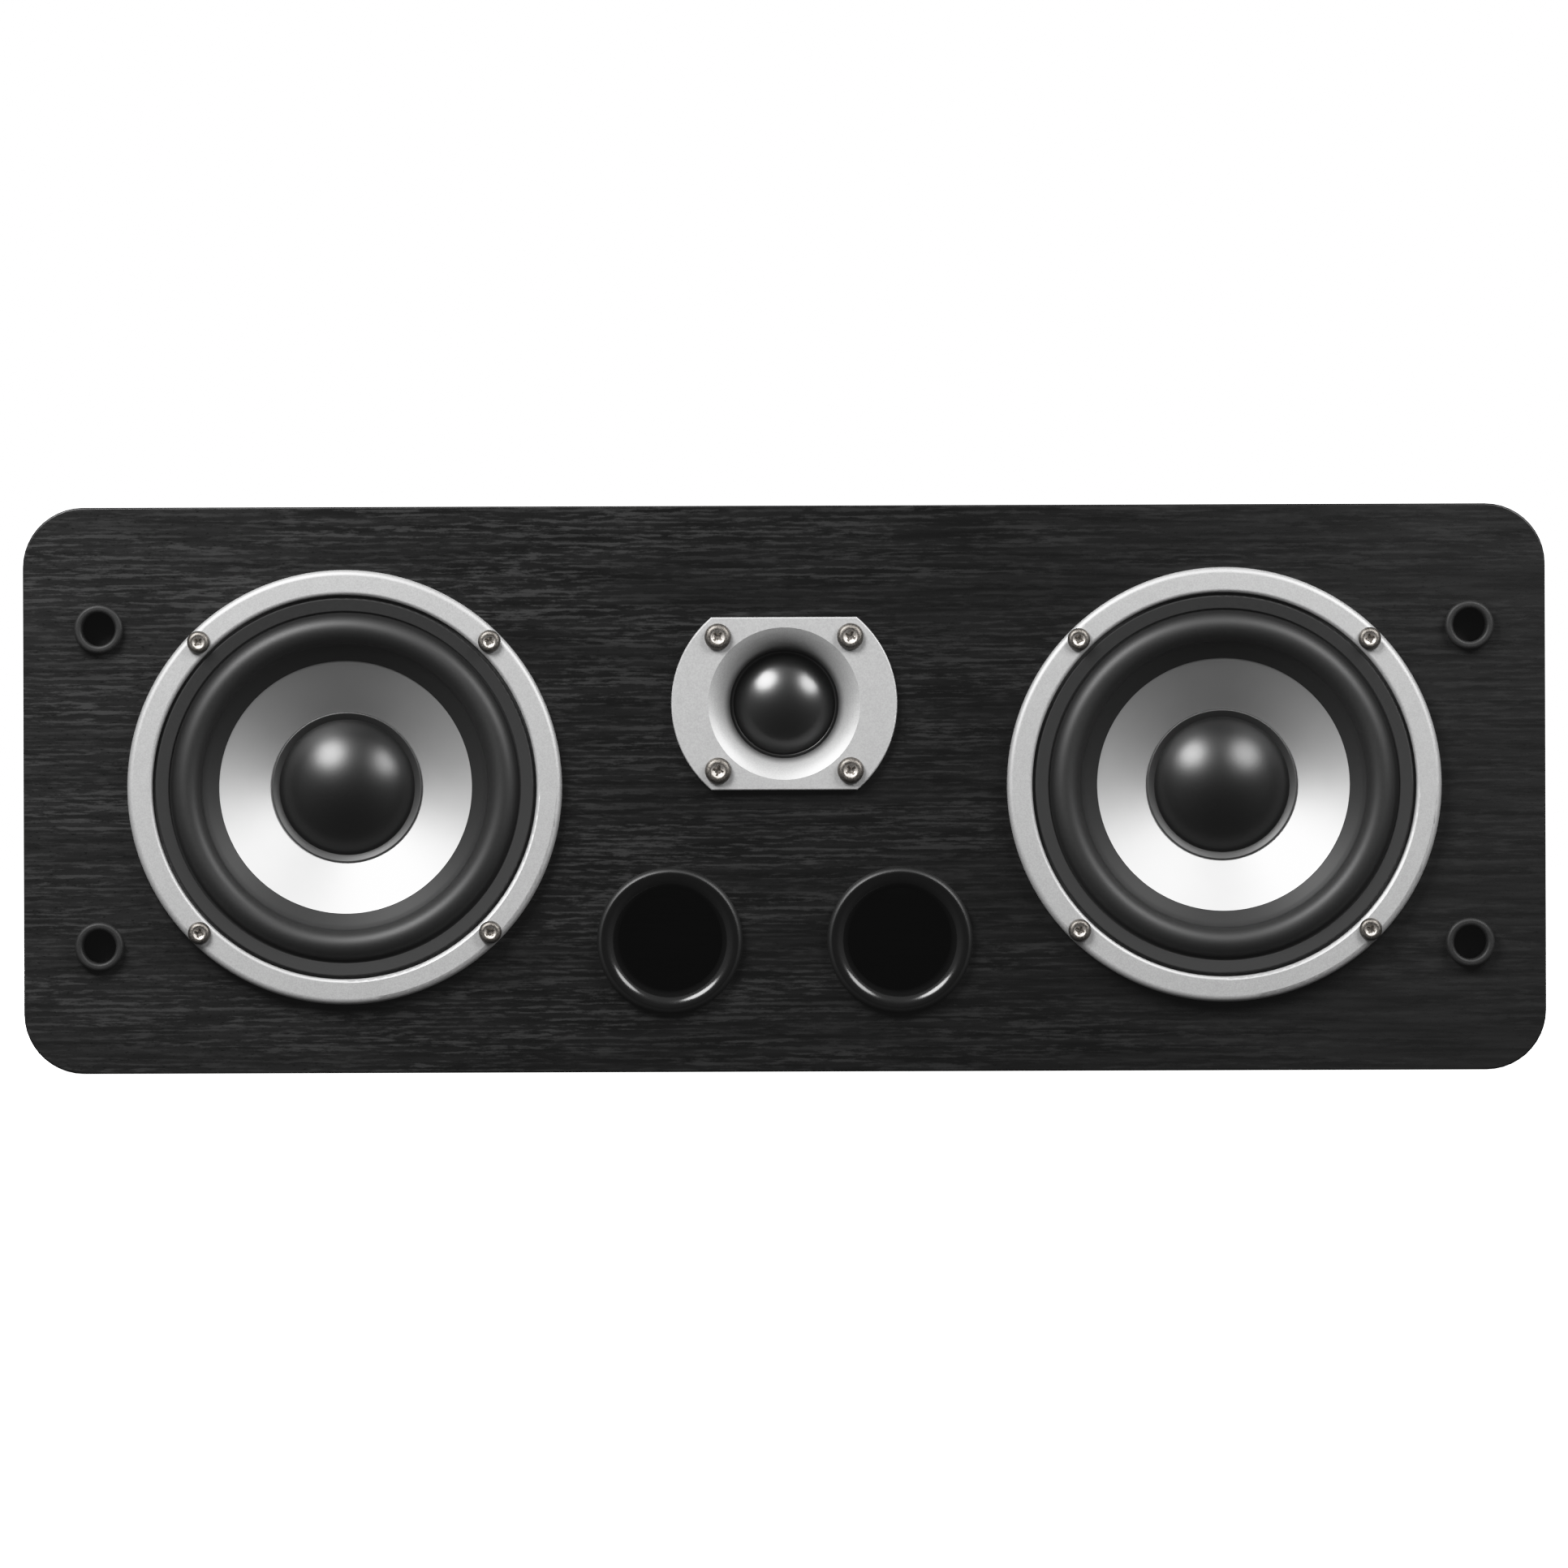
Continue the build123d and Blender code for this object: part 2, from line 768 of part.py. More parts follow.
# Tweeter
def make_tweeter_faceplate():
    mouth = (horn_mouth_radius, plate_thickness)
    throat = (horn_throat_radius, horn_back + dome_seat)
    chord = sqrt((mouth[0] - throat[0]) ** 2 + (mouth[1] - throat[1]) ** 2)
    middle = (
        (mouth[0] + throat[0]) / 2 - horn_sagitta * (mouth[1] - throat[1]) / chord,
        (mouth[1] + throat[1]) / 2 + horn_sagitta * (mouth[0] - throat[0]) / chord,
    )
    with BuildPart() as plate:
        with BuildSketch(wall_plane(front_y)):
            with Locations((0, tweeter_height)):
                Circle(plate_radius)
                Rectangle(2 * plate_radius, plate_flat_height, mode=Mode.INTERSECT)
        extrude(amount=plate_thickness)
        fillet(plate.faces().sort_by(Axis.Y)[0].edges(), plate_edge_ease)
        with BuildSketch(wall_plane(front_y)):
            with Locations((0, tweeter_height)):
                Circle(horn_body_radius)
        extrude(amount=horn_back)
        with BuildSketch(profile_plane(0, tweeter_height)):
            with BuildLine():
                Polyline(throat, (horn_throat_radius, horn_back), (0, horn_back), (0, plate_thickness), mouth)
                ThreePointArc(mouth, middle, throat)
            make_face()
        revolve(axis=front_axis(0, tweeter_height), mode=Mode.SUBTRACT)
        with BuildSketch(wall_plane(front_y)):
            with Locations(*tweeter_screw_spots):
                Circle(screw_shank_radius + hole_clearance)
        extrude(amount=plate_thickness, mode=Mode.SUBTRACT)
    return plate.part


def make_tweeter_dome():
    top = tweeter_plate_front + dome_thickness
    base = tweeter_plate_front
    sphere = (dome_radius**2 + dome_rise**2) / (2 * dome_rise)
    centre = top + dome_rise - sphere
    hollow = sphere - dome_thickness
    hollow_radius = sqrt(hollow**2 - (base - centre) ** 2)
    roll_middle = dome_radius + dome_roll_radius
    roll_end = roll_middle + dome_roll_radius
    with BuildPart() as dome:
        with BuildSketch(profile_plane(0, tweeter_height)):
            with BuildLine():
                ThreePointArc(
                    (0, top + dome_rise),
                    (sphere * sin(pi / 6), centre + sphere * cos(pi / 6)),
                    (dome_radius, top),
                )
                ThreePointArc((dome_radius, top), (roll_middle, top + dome_roll_radius), (roll_end, top))
                Polyline(
                    (roll_end, top),
                    (dome_flange_radius, top),
                    (dome_flange_radius, base),
                    (roll_end - dome_thickness, base),
                )
                ThreePointArc(
                    (roll_end - dome_thickness, base),
                    (roll_middle, top + dome_roll_radius - dome_thickness),
                    (dome_radius + dome_thickness, base),
                )
                Line((dome_radius + dome_thickness, base), (hollow_radius, base))
                ThreePointArc(
                    (hollow_radius, base),
                    (hollow * sin(pi / 6), centre + hollow * cos(pi / 6)),
                    (0, centre + hollow),
                )
                Line((0, centre + hollow), (0, top + dome_rise))
            make_face()
        revolve(axis=front_axis(0, tweeter_height))
    return dome.part


def make_tweeter_strip():
    y = front_y - tweeter_yoke_back
    with BuildPart() as strip:
        with BuildSketch(wall_plane(y)):
            with Locations((0, tweeter_height)):
                Rectangle(tweeter_strip_width, tweeter_strip_height)
        extrude(amount=-strip_thickness)
        with BuildSketch(wall_plane(y + strip_thickness)):
            with Locations((-tab_offset, tweeter_height), (tab_offset, tweeter_height)):
                Rectangle(tab_width, tab_thickness)
        extrude(amount=-tab_length)
    return strip.part


# Terminal cup and binding posts
def make_terminal_cup():
    body_depth = cup_depth + cup_floor - cup_flange_thickness
    with BuildPart() as cup:
        with BuildSketch(wall_plane(panel_back_y)):
            with Locations((0, cup_height)):
                RectangleRounded(cup_flange_width, cup_flange_height, cup_flange_radius)
            with Locations(*cup_screw_spots):
                Circle(cup_screw_radius + thread_clearance, mode=Mode.SUBTRACT)
        extrude(amount=-cup_flange_thickness)
        face = cup.faces().sort_by(Axis.Y)[-1]
        chamfer(face.inner_wires().edges(), cup_screw_head_radius - cup_screw_radius)
        fillet(cup.faces().sort_by(Axis.Y)[-1].outer_wire().edges(), cup_flange_round)
        with BuildSketch(wall_plane(panel_back_y)):
            with Locations((0, cup_height)):
                RectangleRounded(
                    cup_opening_width + 2 * cup_wall,
                    cup_opening_height + 2 * cup_wall,
                    cup_opening_radius + cup_wall,
                )
        extrude(amount=body_depth, taper=cup_draft)
        with BuildSketch(wall_plane(cup_face_y)):
            with Locations((0, cup_height)):
                RectangleRounded(cup_opening_width, cup_opening_height, cup_opening_radius)
        extrude(amount=cup_depth, taper=cup_draft, mode=Mode.SUBTRACT)
        with BuildSketch(wall_plane(cup_floor_y)):
            with Locations((-post_x, cup_height), (post_x, cup_height)):
                Circle(post_radius + thread_clearance)
        extrude(amount=cup_floor, mode=Mode.SUBTRACT)
    return cup.part


def make_cup_screws():
    with BuildPart() as screws:
        for x, z in cup_screw_spots:
            with BuildSketch(Plane(origin=(x, cup_face_y, z), x_dir=(1, 0, 0), z_dir=(0, 0, -1))):
                with BuildLine():
                    Polyline(
                        (0, 0),
                        (cup_screw_head_radius, 0),
                        (cup_screw_radius, cup_screw_head_radius - cup_screw_radius),
                        (cup_screw_radius, cup_screw_length - cup_screw_radius),
                        (0, cup_screw_length),
                        close=True,
                    )
                make_face()
            revolve(axis=Axis((x, cup_face_y, z), (0, -1, 0)))
    return screws.part


def make_post(x):
    with BuildPart() as post:
        with BuildSketch(wall_plane(post_tail_y)):
            with Locations((x, cup_height)):
                Circle(post_radius)
        extrude(amount=-(post_end_y - post_tail_y))
        with BuildSketch(wall_plane(cup_floor_y)):
            with Locations((x, cup_height)):
                Circle(post_collar_radius)
        extrude(amount=-post_collar_height)
        with BuildSketch(wall_plane(post_end_y)):
            with Locations((x, cup_height)):
                Circle(banana_radius)
        extrude(amount=banana_depth, mode=Mode.SUBTRACT)
        with BuildSketch(Plane(origin=(x, collar_y + wire_hole_radius, cup_height), z_dir=(0, 0, 1))):
            Circle(wire_hole_radius)
        extrude(amount=post_radius, both=True, mode=Mode.SUBTRACT)
    return post.part


def make_clamp_washer(x):
    with BuildPart() as washer:
        with BuildSketch(wall_plane(collar_y)):
            with Locations((x, cup_height)):
                Circle(clamp_washer_radius)
                Circle(post_radius + hole_clearance, mode=Mode.SUBTRACT)
        extrude(amount=-clamp_washer_thickness)
    return washer.part


def make_knob(x):
    hole_depth = post_end_y + hole_clearance - knob_start_y
    length = hole_depth + knob_end_wall
    with BuildPart() as knob:
        with BuildSketch(wall_plane(knob_start_y)):
            with Locations((x, cup_height)):
                Circle(knob_radius)
        extrude(amount=-length)
        chamfer(knob.faces().sort_by(Axis.Y)[-1].edges(), knob_flute_radius)
        with BuildSketch(wall_plane(knob_start_y)):
            with Locations((x, cup_height)):
                with PolarLocations(knob_radius, knob_flute_count):
                    Circle(knob_flute_radius)
        extrude(amount=-length, mode=Mode.SUBTRACT)
        with BuildSketch(wall_plane(knob_start_y)):
            with Locations((x, cup_height)):
                Circle(post_radius + hole_clearance)
        extrude(amount=-hole_depth, mode=Mode.SUBTRACT)
        with BuildSketch(wall_plane(knob_start_y)):
            with Locations((x, cup_height)):
                Circle(knob_mouth_radius)
        extrude(amount=-length, mode=Mode.SUBTRACT)
    return knob.part


def make_post_nuts():
    with BuildPart() as nuts:
        for y in (cup_back_y, board_face_y):
            with BuildSketch(wall_plane(y)):
                with Locations((-post_x, cup_height), (post_x, cup_height)):
                    RegularPolygon(nut_across_flats / 2, 6, major_radius=False)
                    Circle(post_radius + thread_clearance, mode=Mode.SUBTRACT)
            extrude(amount=nut_thickness)
    return nuts.part


# Crossover
def make_crossover_board():
    with BuildPart() as board:
        with BuildSketch(wall_plane(board_back_y)):
            with Locations((0, cup_height)):
                Rectangle(board_width, board_height)
            with Locations((-post_x, cup_height), (post_x, cup_height)):
                Circle(post_radius + hole_clearance, mode=Mode.SUBTRACT)
        extrude(amount=board_thickness)
    return board.part


def make_crossover_inductors():
    with BuildPart() as inductors:
        with BuildSketch(wall_plane(board_face_y)):
            with Locations((-inductor_x, inductor_z), (inductor_x, inductor_z)):
                Circle(inductor_radius)
        extrude(amount=inductor_flange)
        with BuildSketch(wall_plane(board_face_y)):
            with Locations((-inductor_x, inductor_z), (inductor_x, inductor_z)):
                Circle(inductor_waist)
        extrude(amount=inductor_length)
        with BuildSketch(wall_plane(board_face_y - inductor_length)):
            with Locations((-inductor_x, inductor_z), (inductor_x, inductor_z)):
                Circle(inductor_radius)
        extrude(amount=-inductor_flange)
        with BuildSketch(wall_plane(board_face_y)):
            with Locations((-inductor_x, inductor_z), (inductor_x, inductor_z)):
                Circle(inductor_bore)
        extrude(amount=inductor_length, mode=Mode.SUBTRACT)
    return inductors.part


def make_crossover_capacitors():
    reach = board_width / 2 - inductor_inset
    with BuildPart() as capacitors:
        for start in (-reach, reach - capacitor_length):
            place = Plane(origin=(start, board_face_y - capacitor_radius, capacitor_z), z_dir=(1, 0, 0))
            with BuildSketch(place):
                Circle(capacitor_radius)
            extrude(amount=capacitor_length)
    return capacitors.part


def make_tweeter_resistor():
    with BuildPart() as resistor:
        with BuildSketch(wall_plane(board_face_y)):
            with Locations((0, capacitor_z)):
                Rectangle(resistor_length, resistor_side)
        extrude(amount=resistor_side)
    return resistor.part


# Leads
def make_leads(routes):
    """A pair of round leads, each swept along straight runs joined by tangent arcs."""
    with BuildPart() as leads:
        for route in routes:
            with BuildLine() as path:
                FilletPolyline(*route, radius=lead_bend)
            with BuildSketch(Plane(origin=path.line @ 0, z_dir=path.line % 0)):
                Circle(lead_radius)
            sweep(path=path.line)
    return leads.part


def woofer_lead_routes(side):
    tab_y = front_y - ledge_back + strip_thickness + tab_length
    tab_z = driver_height - strip_reach + tab_width / 2
    end_x = side * (inductor_x + inductor_radius / 2)
    end_y = board_face_y - capacitor_radius
    routes = []
    for n in (-1, 1):
        x = side * woofer_x + side * n * tab_offset
        z = cup_height - n * lead_pitch / 2 - lead_pitch
        turn_y = end_y - 2 * lead_bend + n * lead_pitch
        far_x = end_x + side * n * lead_pitch / 2
        routes.append(
            [
                (x, tab_y, tab_z),
                (x, turn_y, tab_z),
                (far_x, turn_y, z),
                (far_x, board_face_y, z),
            ]
        )
    return routes


def tweeter_lead_routes():
    tab_y = front_y - tweeter_yoke_back + strip_thickness + tab_length
    drop_y = (tab_y + board_face_y) / 2
    end_z = cup_height + nut_across_flats
    routes = []
    for n in (-1, 1):
        x = n * tab_offset
        routes.append(
            [
                (x, tab_y, tweeter_height),
                (x, drop_y, tweeter_height),
                (x, drop_y + lead_bend, end_z),
                (x, board_face_y, end_z),
            ]
        )
    return routes


os.makedirs("parts", exist_ok=True)

save(make_cabinet_wrap(), "cabinet_wrap")
save(make_front_baffle(), "front_baffle")
save(make_rear_panel(), "rear_panel")
save(make_damping_pads(), "damping_pads")
save(make_grille_sockets(), "grille_sockets")

for name, side in (("left", -1), ("right", 1)):
    centre_x = side * woofer_x
    woofer = f"{name}_woofer"
    save(make_port_tube(side * port_x), f"{name}_port_tube")
    save(make_trim_ring(centre_x), f"{woofer}_trim_ring")
    save(make_basket(centre_x), f"{woofer}_basket")
    save(make_gasket(centre_x), f"{woofer}_gasket")
    save(make_surround(centre_x), f"{woofer}_surround")
    save(make_cone(centre_x), f"{woofer}_cone")
    save(make_dust_cap(centre_x), f"{woofer}_dust_cap")
    save(make_voice_coil(centre_x), f"{woofer}_voice_coil")
    save(make_spider(centre_x), f"{woofer}_spider")
    front_plate = make_ring(
        centre_x,
        driver_height,
        woofer_plate_radius,
        winding_radius + gap_clearance,
        woofer_plate_front,
        woofer_plate_thickness,
    )
    save(front_plate, f"{woofer}_front_plate")
    magnet = make_ring(
        centre_x,
        driver_height,
        woofer_magnet_radius,
        woofer_magnet_bore,
        woofer_plate_back,
        woofer_magnet_thickness,
    )
    save(magnet, f"{woofer}_magnet")
    yoke = make_pole_yoke(
        centre_x,
        driver_height,
        woofer_plate_radius,
        coil_inner_radius - gap_clearance,
        woofer_magnet_back,
        woofer_plate_front,
        woofer_yoke_thickness,
        woofer_vent_radius,
    )
    save(yoke, f"{woofer}_pole_yoke")
    save(make_woofer_strip(centre_x), f"{woofer}_terminal_strip")
    save(make_tinsel_leads(centre_x), f"{woofer}_tinsel_leads")
    save(make_leads(woofer_lead_routes(side)), f"{woofer}_leads")

save(make_driver_screws(all_woofer_screw_spots, woofer_screw_head_radius, trim_height), "woofer_screws")

save(make_tweeter_faceplate(), "tweeter_faceplate")
save(make_tweeter_dome(), "tweeter_dome")
tweeter_coil_front = tweeter_plate_front - glue_line
save(
    make_ring(
        0,
        tweeter_height,
        tweeter_coil_inner + tweeter_coil_wall,
        tweeter_coil_inner,
        tweeter_coil_front,
        tweeter_coil_length,
    ),
    "tweeter_voice_coil",
)
save(
    make_ring(
        0,
        tweeter_height,
        tweeter_front_plate_radius,
        tweeter_coil_inner + tweeter_coil_wall + gap_clearance,
        tweeter_plate_front,
        tweeter_front_plate_thickness,
    ),
    "tweeter_front_plate",
)
save(
    make_ring(
        0,
        tweeter_height,
        tweeter_magnet_radius,
        tweeter_magnet_bore,
        tweeter_plate_back,
        tweeter_magnet_thickness,
    ),
    "tweeter_magnet",
)
save(
    make_pole_yoke(
        0,
        tweeter_height,
        tweeter_front_plate_radius,
        tweeter_coil_inner - gap_clearance,
        tweeter_magnet_back,
        tweeter_plate_front,
        tweeter_yoke_thickness,
        screw_shank_radius,
    ),
    "tweeter_pole_yoke",
)
save(make_tweeter_strip(), "tweeter_terminal_strip")
save(make_driver_screws(tweeter_screw_spots, tweeter_screw_head_radius, plate_thickness), "tweeter_screws")
save(make_leads(tweeter_lead_routes()), "tweeter_leads")

save(make_terminal_cup(), "terminal_cup")
save(make_cup_screws(), "cup_screws")
for name, x in (("red", post_x), ("black", -post_x)):
    save(make_post(x), f"{name}_post")
    save(make_clamp_washer(x), f"{name}_clamp_washer")
    save(make_knob(x), f"{name}_knob")
save(make_post_nuts(), "post_nuts")

save(make_crossover_board(), "crossover_board")
save(make_crossover_inductors(), "crossover_inductors")
save(make_crossover_capacitors(), "crossover_capacitors")
save(make_tweeter_resistor(), "tweeter_resistor")
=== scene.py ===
# %% [markdown]
# # A center channel speaker
#
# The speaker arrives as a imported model: every panel, driver and screw is already in place, in metres.
# This lesson gives it its looks. It sets up the studio, writes one finish for every material,
# and models again the few pieces whose detail or movement plain solids can't show.

# %% Load the frame
import json
import math

import bmesh
import bpy
import numpy as np
from mathutils import Matrix, Vector


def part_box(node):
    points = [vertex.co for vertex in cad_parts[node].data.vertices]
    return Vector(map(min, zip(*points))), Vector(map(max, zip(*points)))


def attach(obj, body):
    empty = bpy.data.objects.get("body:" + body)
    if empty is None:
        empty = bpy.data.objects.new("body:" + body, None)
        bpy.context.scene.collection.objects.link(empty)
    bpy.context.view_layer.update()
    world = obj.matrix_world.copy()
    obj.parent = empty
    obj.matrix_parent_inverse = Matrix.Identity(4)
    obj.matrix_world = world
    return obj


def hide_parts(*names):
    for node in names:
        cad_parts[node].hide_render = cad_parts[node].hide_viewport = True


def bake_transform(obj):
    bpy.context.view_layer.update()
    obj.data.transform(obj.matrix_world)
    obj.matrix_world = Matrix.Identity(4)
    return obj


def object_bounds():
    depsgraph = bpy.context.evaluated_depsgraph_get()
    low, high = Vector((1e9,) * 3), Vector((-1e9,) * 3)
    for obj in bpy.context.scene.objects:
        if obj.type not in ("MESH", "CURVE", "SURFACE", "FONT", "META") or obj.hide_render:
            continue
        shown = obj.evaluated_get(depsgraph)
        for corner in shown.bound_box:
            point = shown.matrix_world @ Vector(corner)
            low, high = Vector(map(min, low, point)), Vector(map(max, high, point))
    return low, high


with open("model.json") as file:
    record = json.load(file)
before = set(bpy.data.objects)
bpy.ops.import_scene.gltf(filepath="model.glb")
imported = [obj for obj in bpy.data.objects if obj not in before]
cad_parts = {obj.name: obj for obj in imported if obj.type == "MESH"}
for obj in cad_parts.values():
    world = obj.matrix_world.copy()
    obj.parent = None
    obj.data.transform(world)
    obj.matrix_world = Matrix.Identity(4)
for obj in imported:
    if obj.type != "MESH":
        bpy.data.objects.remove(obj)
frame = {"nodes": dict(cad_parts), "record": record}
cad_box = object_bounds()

nodes = frame["nodes"]
scene = bpy.context.scene
print("nodes:", len(nodes), "box:", [tuple(round(v, 4) for v in corner) for corner in cad_box])

# %% [markdown]
# ## Landmarks
#
# X runs to the right, Z runs up and the front looks along -Y. Everything on the baffle is round,
# so a piece is easiest to describe by its axis, a radius and a height out of the front face.
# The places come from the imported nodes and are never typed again.

# %% Landmarks
MM = 0.001


def middle(node):
    low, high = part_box(node)
    return (low + high) / 2


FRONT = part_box("front_baffle")[0].y
WOOFER = {side: middle(f"{side}_woofer_trim_ring") for side in ("left", "right")}
TWEETER = middle("tweeter_dome")
CENTRE = (cad_box[0] + cad_box[1]) / 2
print("front face at y =", round(FRONT, 4), "woofers at x =", [round(c.x, 4) for c in WOOFER.values()])

# %% [markdown]
# ## Camera
#
# The photograph looks straight at the front from a few metres away, so the sides don't show.
# The width of the box in the picture fixes the scale, and the distance with it gives the focal length.
# The picture leans by a fifth of a degree, and the camera leans with it.

# %% Camera
FRAME_PIXELS = 1932
BOX_PIXELS = 1876
BOX_MIDDLE_PIXELS = (966.6, 971.7)
VIEW_DISTANCE = 2.6
ROLL = math.radians(-0.19)
SENSOR = 36.0

box_width = cad_box[1].x - cad_box[0].x
pixels_per_metre = BOX_PIXELS / box_width
camera_data = bpy.data.cameras.new("camera")
camera_data.sensor_width = SENSOR
camera_data.lens = SENSOR * pixels_per_metre * VIEW_DISTANCE / FRAME_PIXELS
camera_data.clip_end = 100.0
camera = bpy.data.objects.new("camera", camera_data)
scene.collection.objects.link(camera)
off_x = (FRAME_PIXELS / 2 - BOX_MIDDLE_PIXELS[0]) / pixels_per_metre
off_z = (BOX_MIDDLE_PIXELS[1] - FRAME_PIXELS / 2) / pixels_per_metre
camera.location = (CENTRE.x + off_x, FRONT - VIEW_DISTANCE, CENTRE.z + off_z)
camera.rotation_euler = (math.pi / 2, 0.0, 0.0)
camera.rotation_euler.rotate_axis("Z", ROLL)
scene.camera = camera
print("lens:", round(camera_data.lens, 1), "mm at", VIEW_DISTANCE, "m")

# %% [markdown]
# ## Studio
#
# Two soft boxes stand close to the front: a large one high on the left and a smaller one on the right.
# Each dome shows both as soft spots, and where those spots sit on the two dust caps
# tells how far off the boxes are. A third one behind the speaker lights its back and never reaches the front.
# A camera's response lifts the blacks a little and rolls the lights off; a tone curve stands for it.

# %% Studio
scene.view_settings.view_transform = "Standard"
scene.view_settings.look = "None"
BLACK_LIFT = -0.004
WHITE_CEILING = 2.0
SHOULDER = ((0.25, 0.5), (0.40, 0.74), (0.55, 0.89), (0.75, 0.975))
STRAIGHT_UP_TO = 0.3


def camera_curve(settings, floor, ceiling, points):
    """Lift the blacks and let light tones roll off up to a ceiling."""
    settings.use_curve_mapping = True
    mapping = settings.curve_mapping
    mapping.black_level = (floor, floor, floor)
    mapping.white_level = (ceiling, ceiling, ceiling)
    tone = mapping.curves[3]
    for x, y in points:
        tone.points.new(x, y)
    for point in tone.points:
        point.handle_type = "VECTOR" if point.location[0] < STRAIGHT_UP_TO else "AUTO_CLAMPED"
    mapping.update()


camera_curve(scene.view_settings, BLACK_LIFT, WHITE_CEILING, SHOULDER)


def soft_box(name, place, width, power):
    """A round lamp at a place measured from the middle of the baffle, looking at that middle."""
    lamp = bpy.data.lights.new(name, "AREA")
    lamp.shape = "DISK"
    lamp.size = width
    lamp.energy = power
    box = bpy.data.objects.new(name, lamp)
    scene.collection.objects.link(box)
    box.location = Vector((CENTRE.x, FRONT, CENTRE.z)) + Vector(place)
    box.rotation_euler = Vector(place).to_track_quat("Z", "Y").to_euler()
    return box


soft_box("key_box", place=(-0.457, -0.653, 0.629), width=0.52, power=18.5)
soft_box("side_box", place=(0.440, -0.435, 0.390), width=0.36, power=5.2)
soft_box("back_box", place=(-0.7, 1.6, 0.75), width=1.2, power=45)

# %% [markdown]
# ## Sums on sockets
#
# A finish is a small network of nodes. Written out node by node it hides its own idea,
# so one class wraps a socket: adding or multiplying two of them adds the Math node that does it,
# and one method makes any other node. The same method builds the Geometry Nodes trees further down.

# %% Sums on sockets


class Field:
    """A socket of a node tree, so that sums in Python add nodes to that tree."""

    def __init__(self, tree, socket):
        self.tree = tree
        self.socket = socket

    def node(self, kind, settings, inputs, output=0):
        """Add a node, with its settings first and then its sockets, and return one of its outputs."""
        made = self.tree.nodes.new(kind)
        for key, value in settings.items():
            setattr(made, key, value)
        for key, value in inputs.items():
            if isinstance(value, Field):
                self.tree.links.new(value.socket, made.inputs[key])
            else:
                made.inputs[key].default_value = value
        return Field(self.tree, made.outputs[output])

    def sum(self, operation, first, second):
        return self.node("ShaderNodeMath", {"operation": operation}, {0: first, 1: second})

    def __add__(self, other):
        return self.sum("ADD", self, other)

    def __sub__(self, other):
        return self.sum("SUBTRACT", self, other)

    def __mul__(self, other):
        return self.sum("MULTIPLY", self, other)

    def __pow__(self, other):
        return self.sum("POWER", self, other)

    def __rsub__(self, other):
        return self.sum("SUBTRACT", other, self)

    __radd__ = __add__
    __rmul__ = __mul__

    def __abs__(self):
        return self.sum("ABSOLUTE", self, 0.0)

    def rise(self, low, high):
        """0 below low, 1 above high and a smooth step between them."""
        ends = {"Value": self, "From Min": low, "From Max": high}
        return self.node("ShaderNodeMapRange", {"interpolation_type": "SMOOTHSTEP"}, ends)

    def axes(self):
        """The three numbers of a vector."""
        parts = self.node("ShaderNodeSeparateXYZ", {}, {0: self}).socket.node.outputs
        return [Field(self.tree, part) for part in parts]

    def vector(self, x, y, z):
        return self.node("ShaderNodeCombineXYZ", {}, {0: x, 1: y, 2: z})

    def stretched(self, x, y, z):
        return self.node("ShaderNodeVectorMath", {"operation": "MULTIPLY"}, {0: self, 1: (x, y, z)})

    def noise(self, detail=2.0, roughness=0.5):
        """Smooth noise around 0.5, with features about one unit of this vector across."""
        look = {"Vector": self, "Scale": 1.0, "Detail": detail, "Roughness": roughness}
        return self.node("ShaderNodeTexNoise", {}, look)

    def mix(self, low, high):
        """The colour low where this number is 0 and high where it is 1."""
        settings = {"data_type": "RGBA"}
        return self.node("ShaderNodeMix", settings, {0: self, 6: low, 7: high}, output=2)


def grey(value, tint=(1.0, 1.0, 1.0)):
    return (value * tint[0], value * tint[1], value * tint[2], 1.0)


print("helpers ready")

# %% [markdown]
# ## Floor and room
#
# Both are white to the camera. The room also lights the speaker: pale above, dark below
# and dark around the camera, which is what keeps flat black faces black.
# The floor sheet is hidden from reflections, so only the room's shading shows in the metal.

# %% Floor and room
FLOOR_SIZE = 12.0
FLOOR_DROP = 0.2
FLOOR_GLOW = 1.7
ROOM_LOW, ROOM_RISE = 0.06, 0.6
ROOM_WHITE = 2.0
CAMERA_SIDE_SHADE = 0.8

world = bpy.data.worlds.new("room")
scene.world = world
world.use_nodes = True
room = world.node_tree
room_start = Field(room, room.nodes.new("ShaderNodeTexCoord").outputs["Generated"])
deep, up = room_start.axes()[1:]
ceiling = up.rise(-0.95, 0.95)
ahead = (0.0 - deep).rise(0.55, 1.0)
to_camera = room_start.node("ShaderNodeLightPath", {}, {}, output="Is Camera Ray")
light = (ROOM_LOW + ROOM_RISE * ceiling) * (1 - CAMERA_SIDE_SHADE * ahead)
brightness = light * (1 - to_camera) + ROOM_WHITE * to_camera
room.links.new(brightness.socket, room.nodes["Background"].inputs["Strength"])
room.nodes["Background"].inputs["Color"].default_value = grey(1.0)

floor_mesh = bpy.data.meshes.new("floor")
half = FLOOR_SIZE / 2
floor_corners = [(-half, -half, 0), (half, -half, 0), (half, half, 0), (-half, half, 0)]
floor_mesh.from_pydata(floor_corners, [], [(0, 1, 2, 3)])
floor_mesh.transform(Matrix.Translation((0, 0, cad_box[0].z - FLOOR_DROP * MM)))
floor = bpy.data.objects.new("floor", floor_mesh)
scene.collection.objects.link(floor)
floor.visible_glossy = False
floor.visible_diffuse = False
pale = bpy.data.materials.new("pale_floor")
pale.use_nodes = True
pale_shader = pale.node_tree.nodes["Principled BSDF"]
pale_shader.inputs["Base Color"].default_value = grey(0.9)
pale_shader.inputs["Roughness"].default_value = 0.9
pale_shader.inputs["Emission Color"].default_value = grey(1.0)
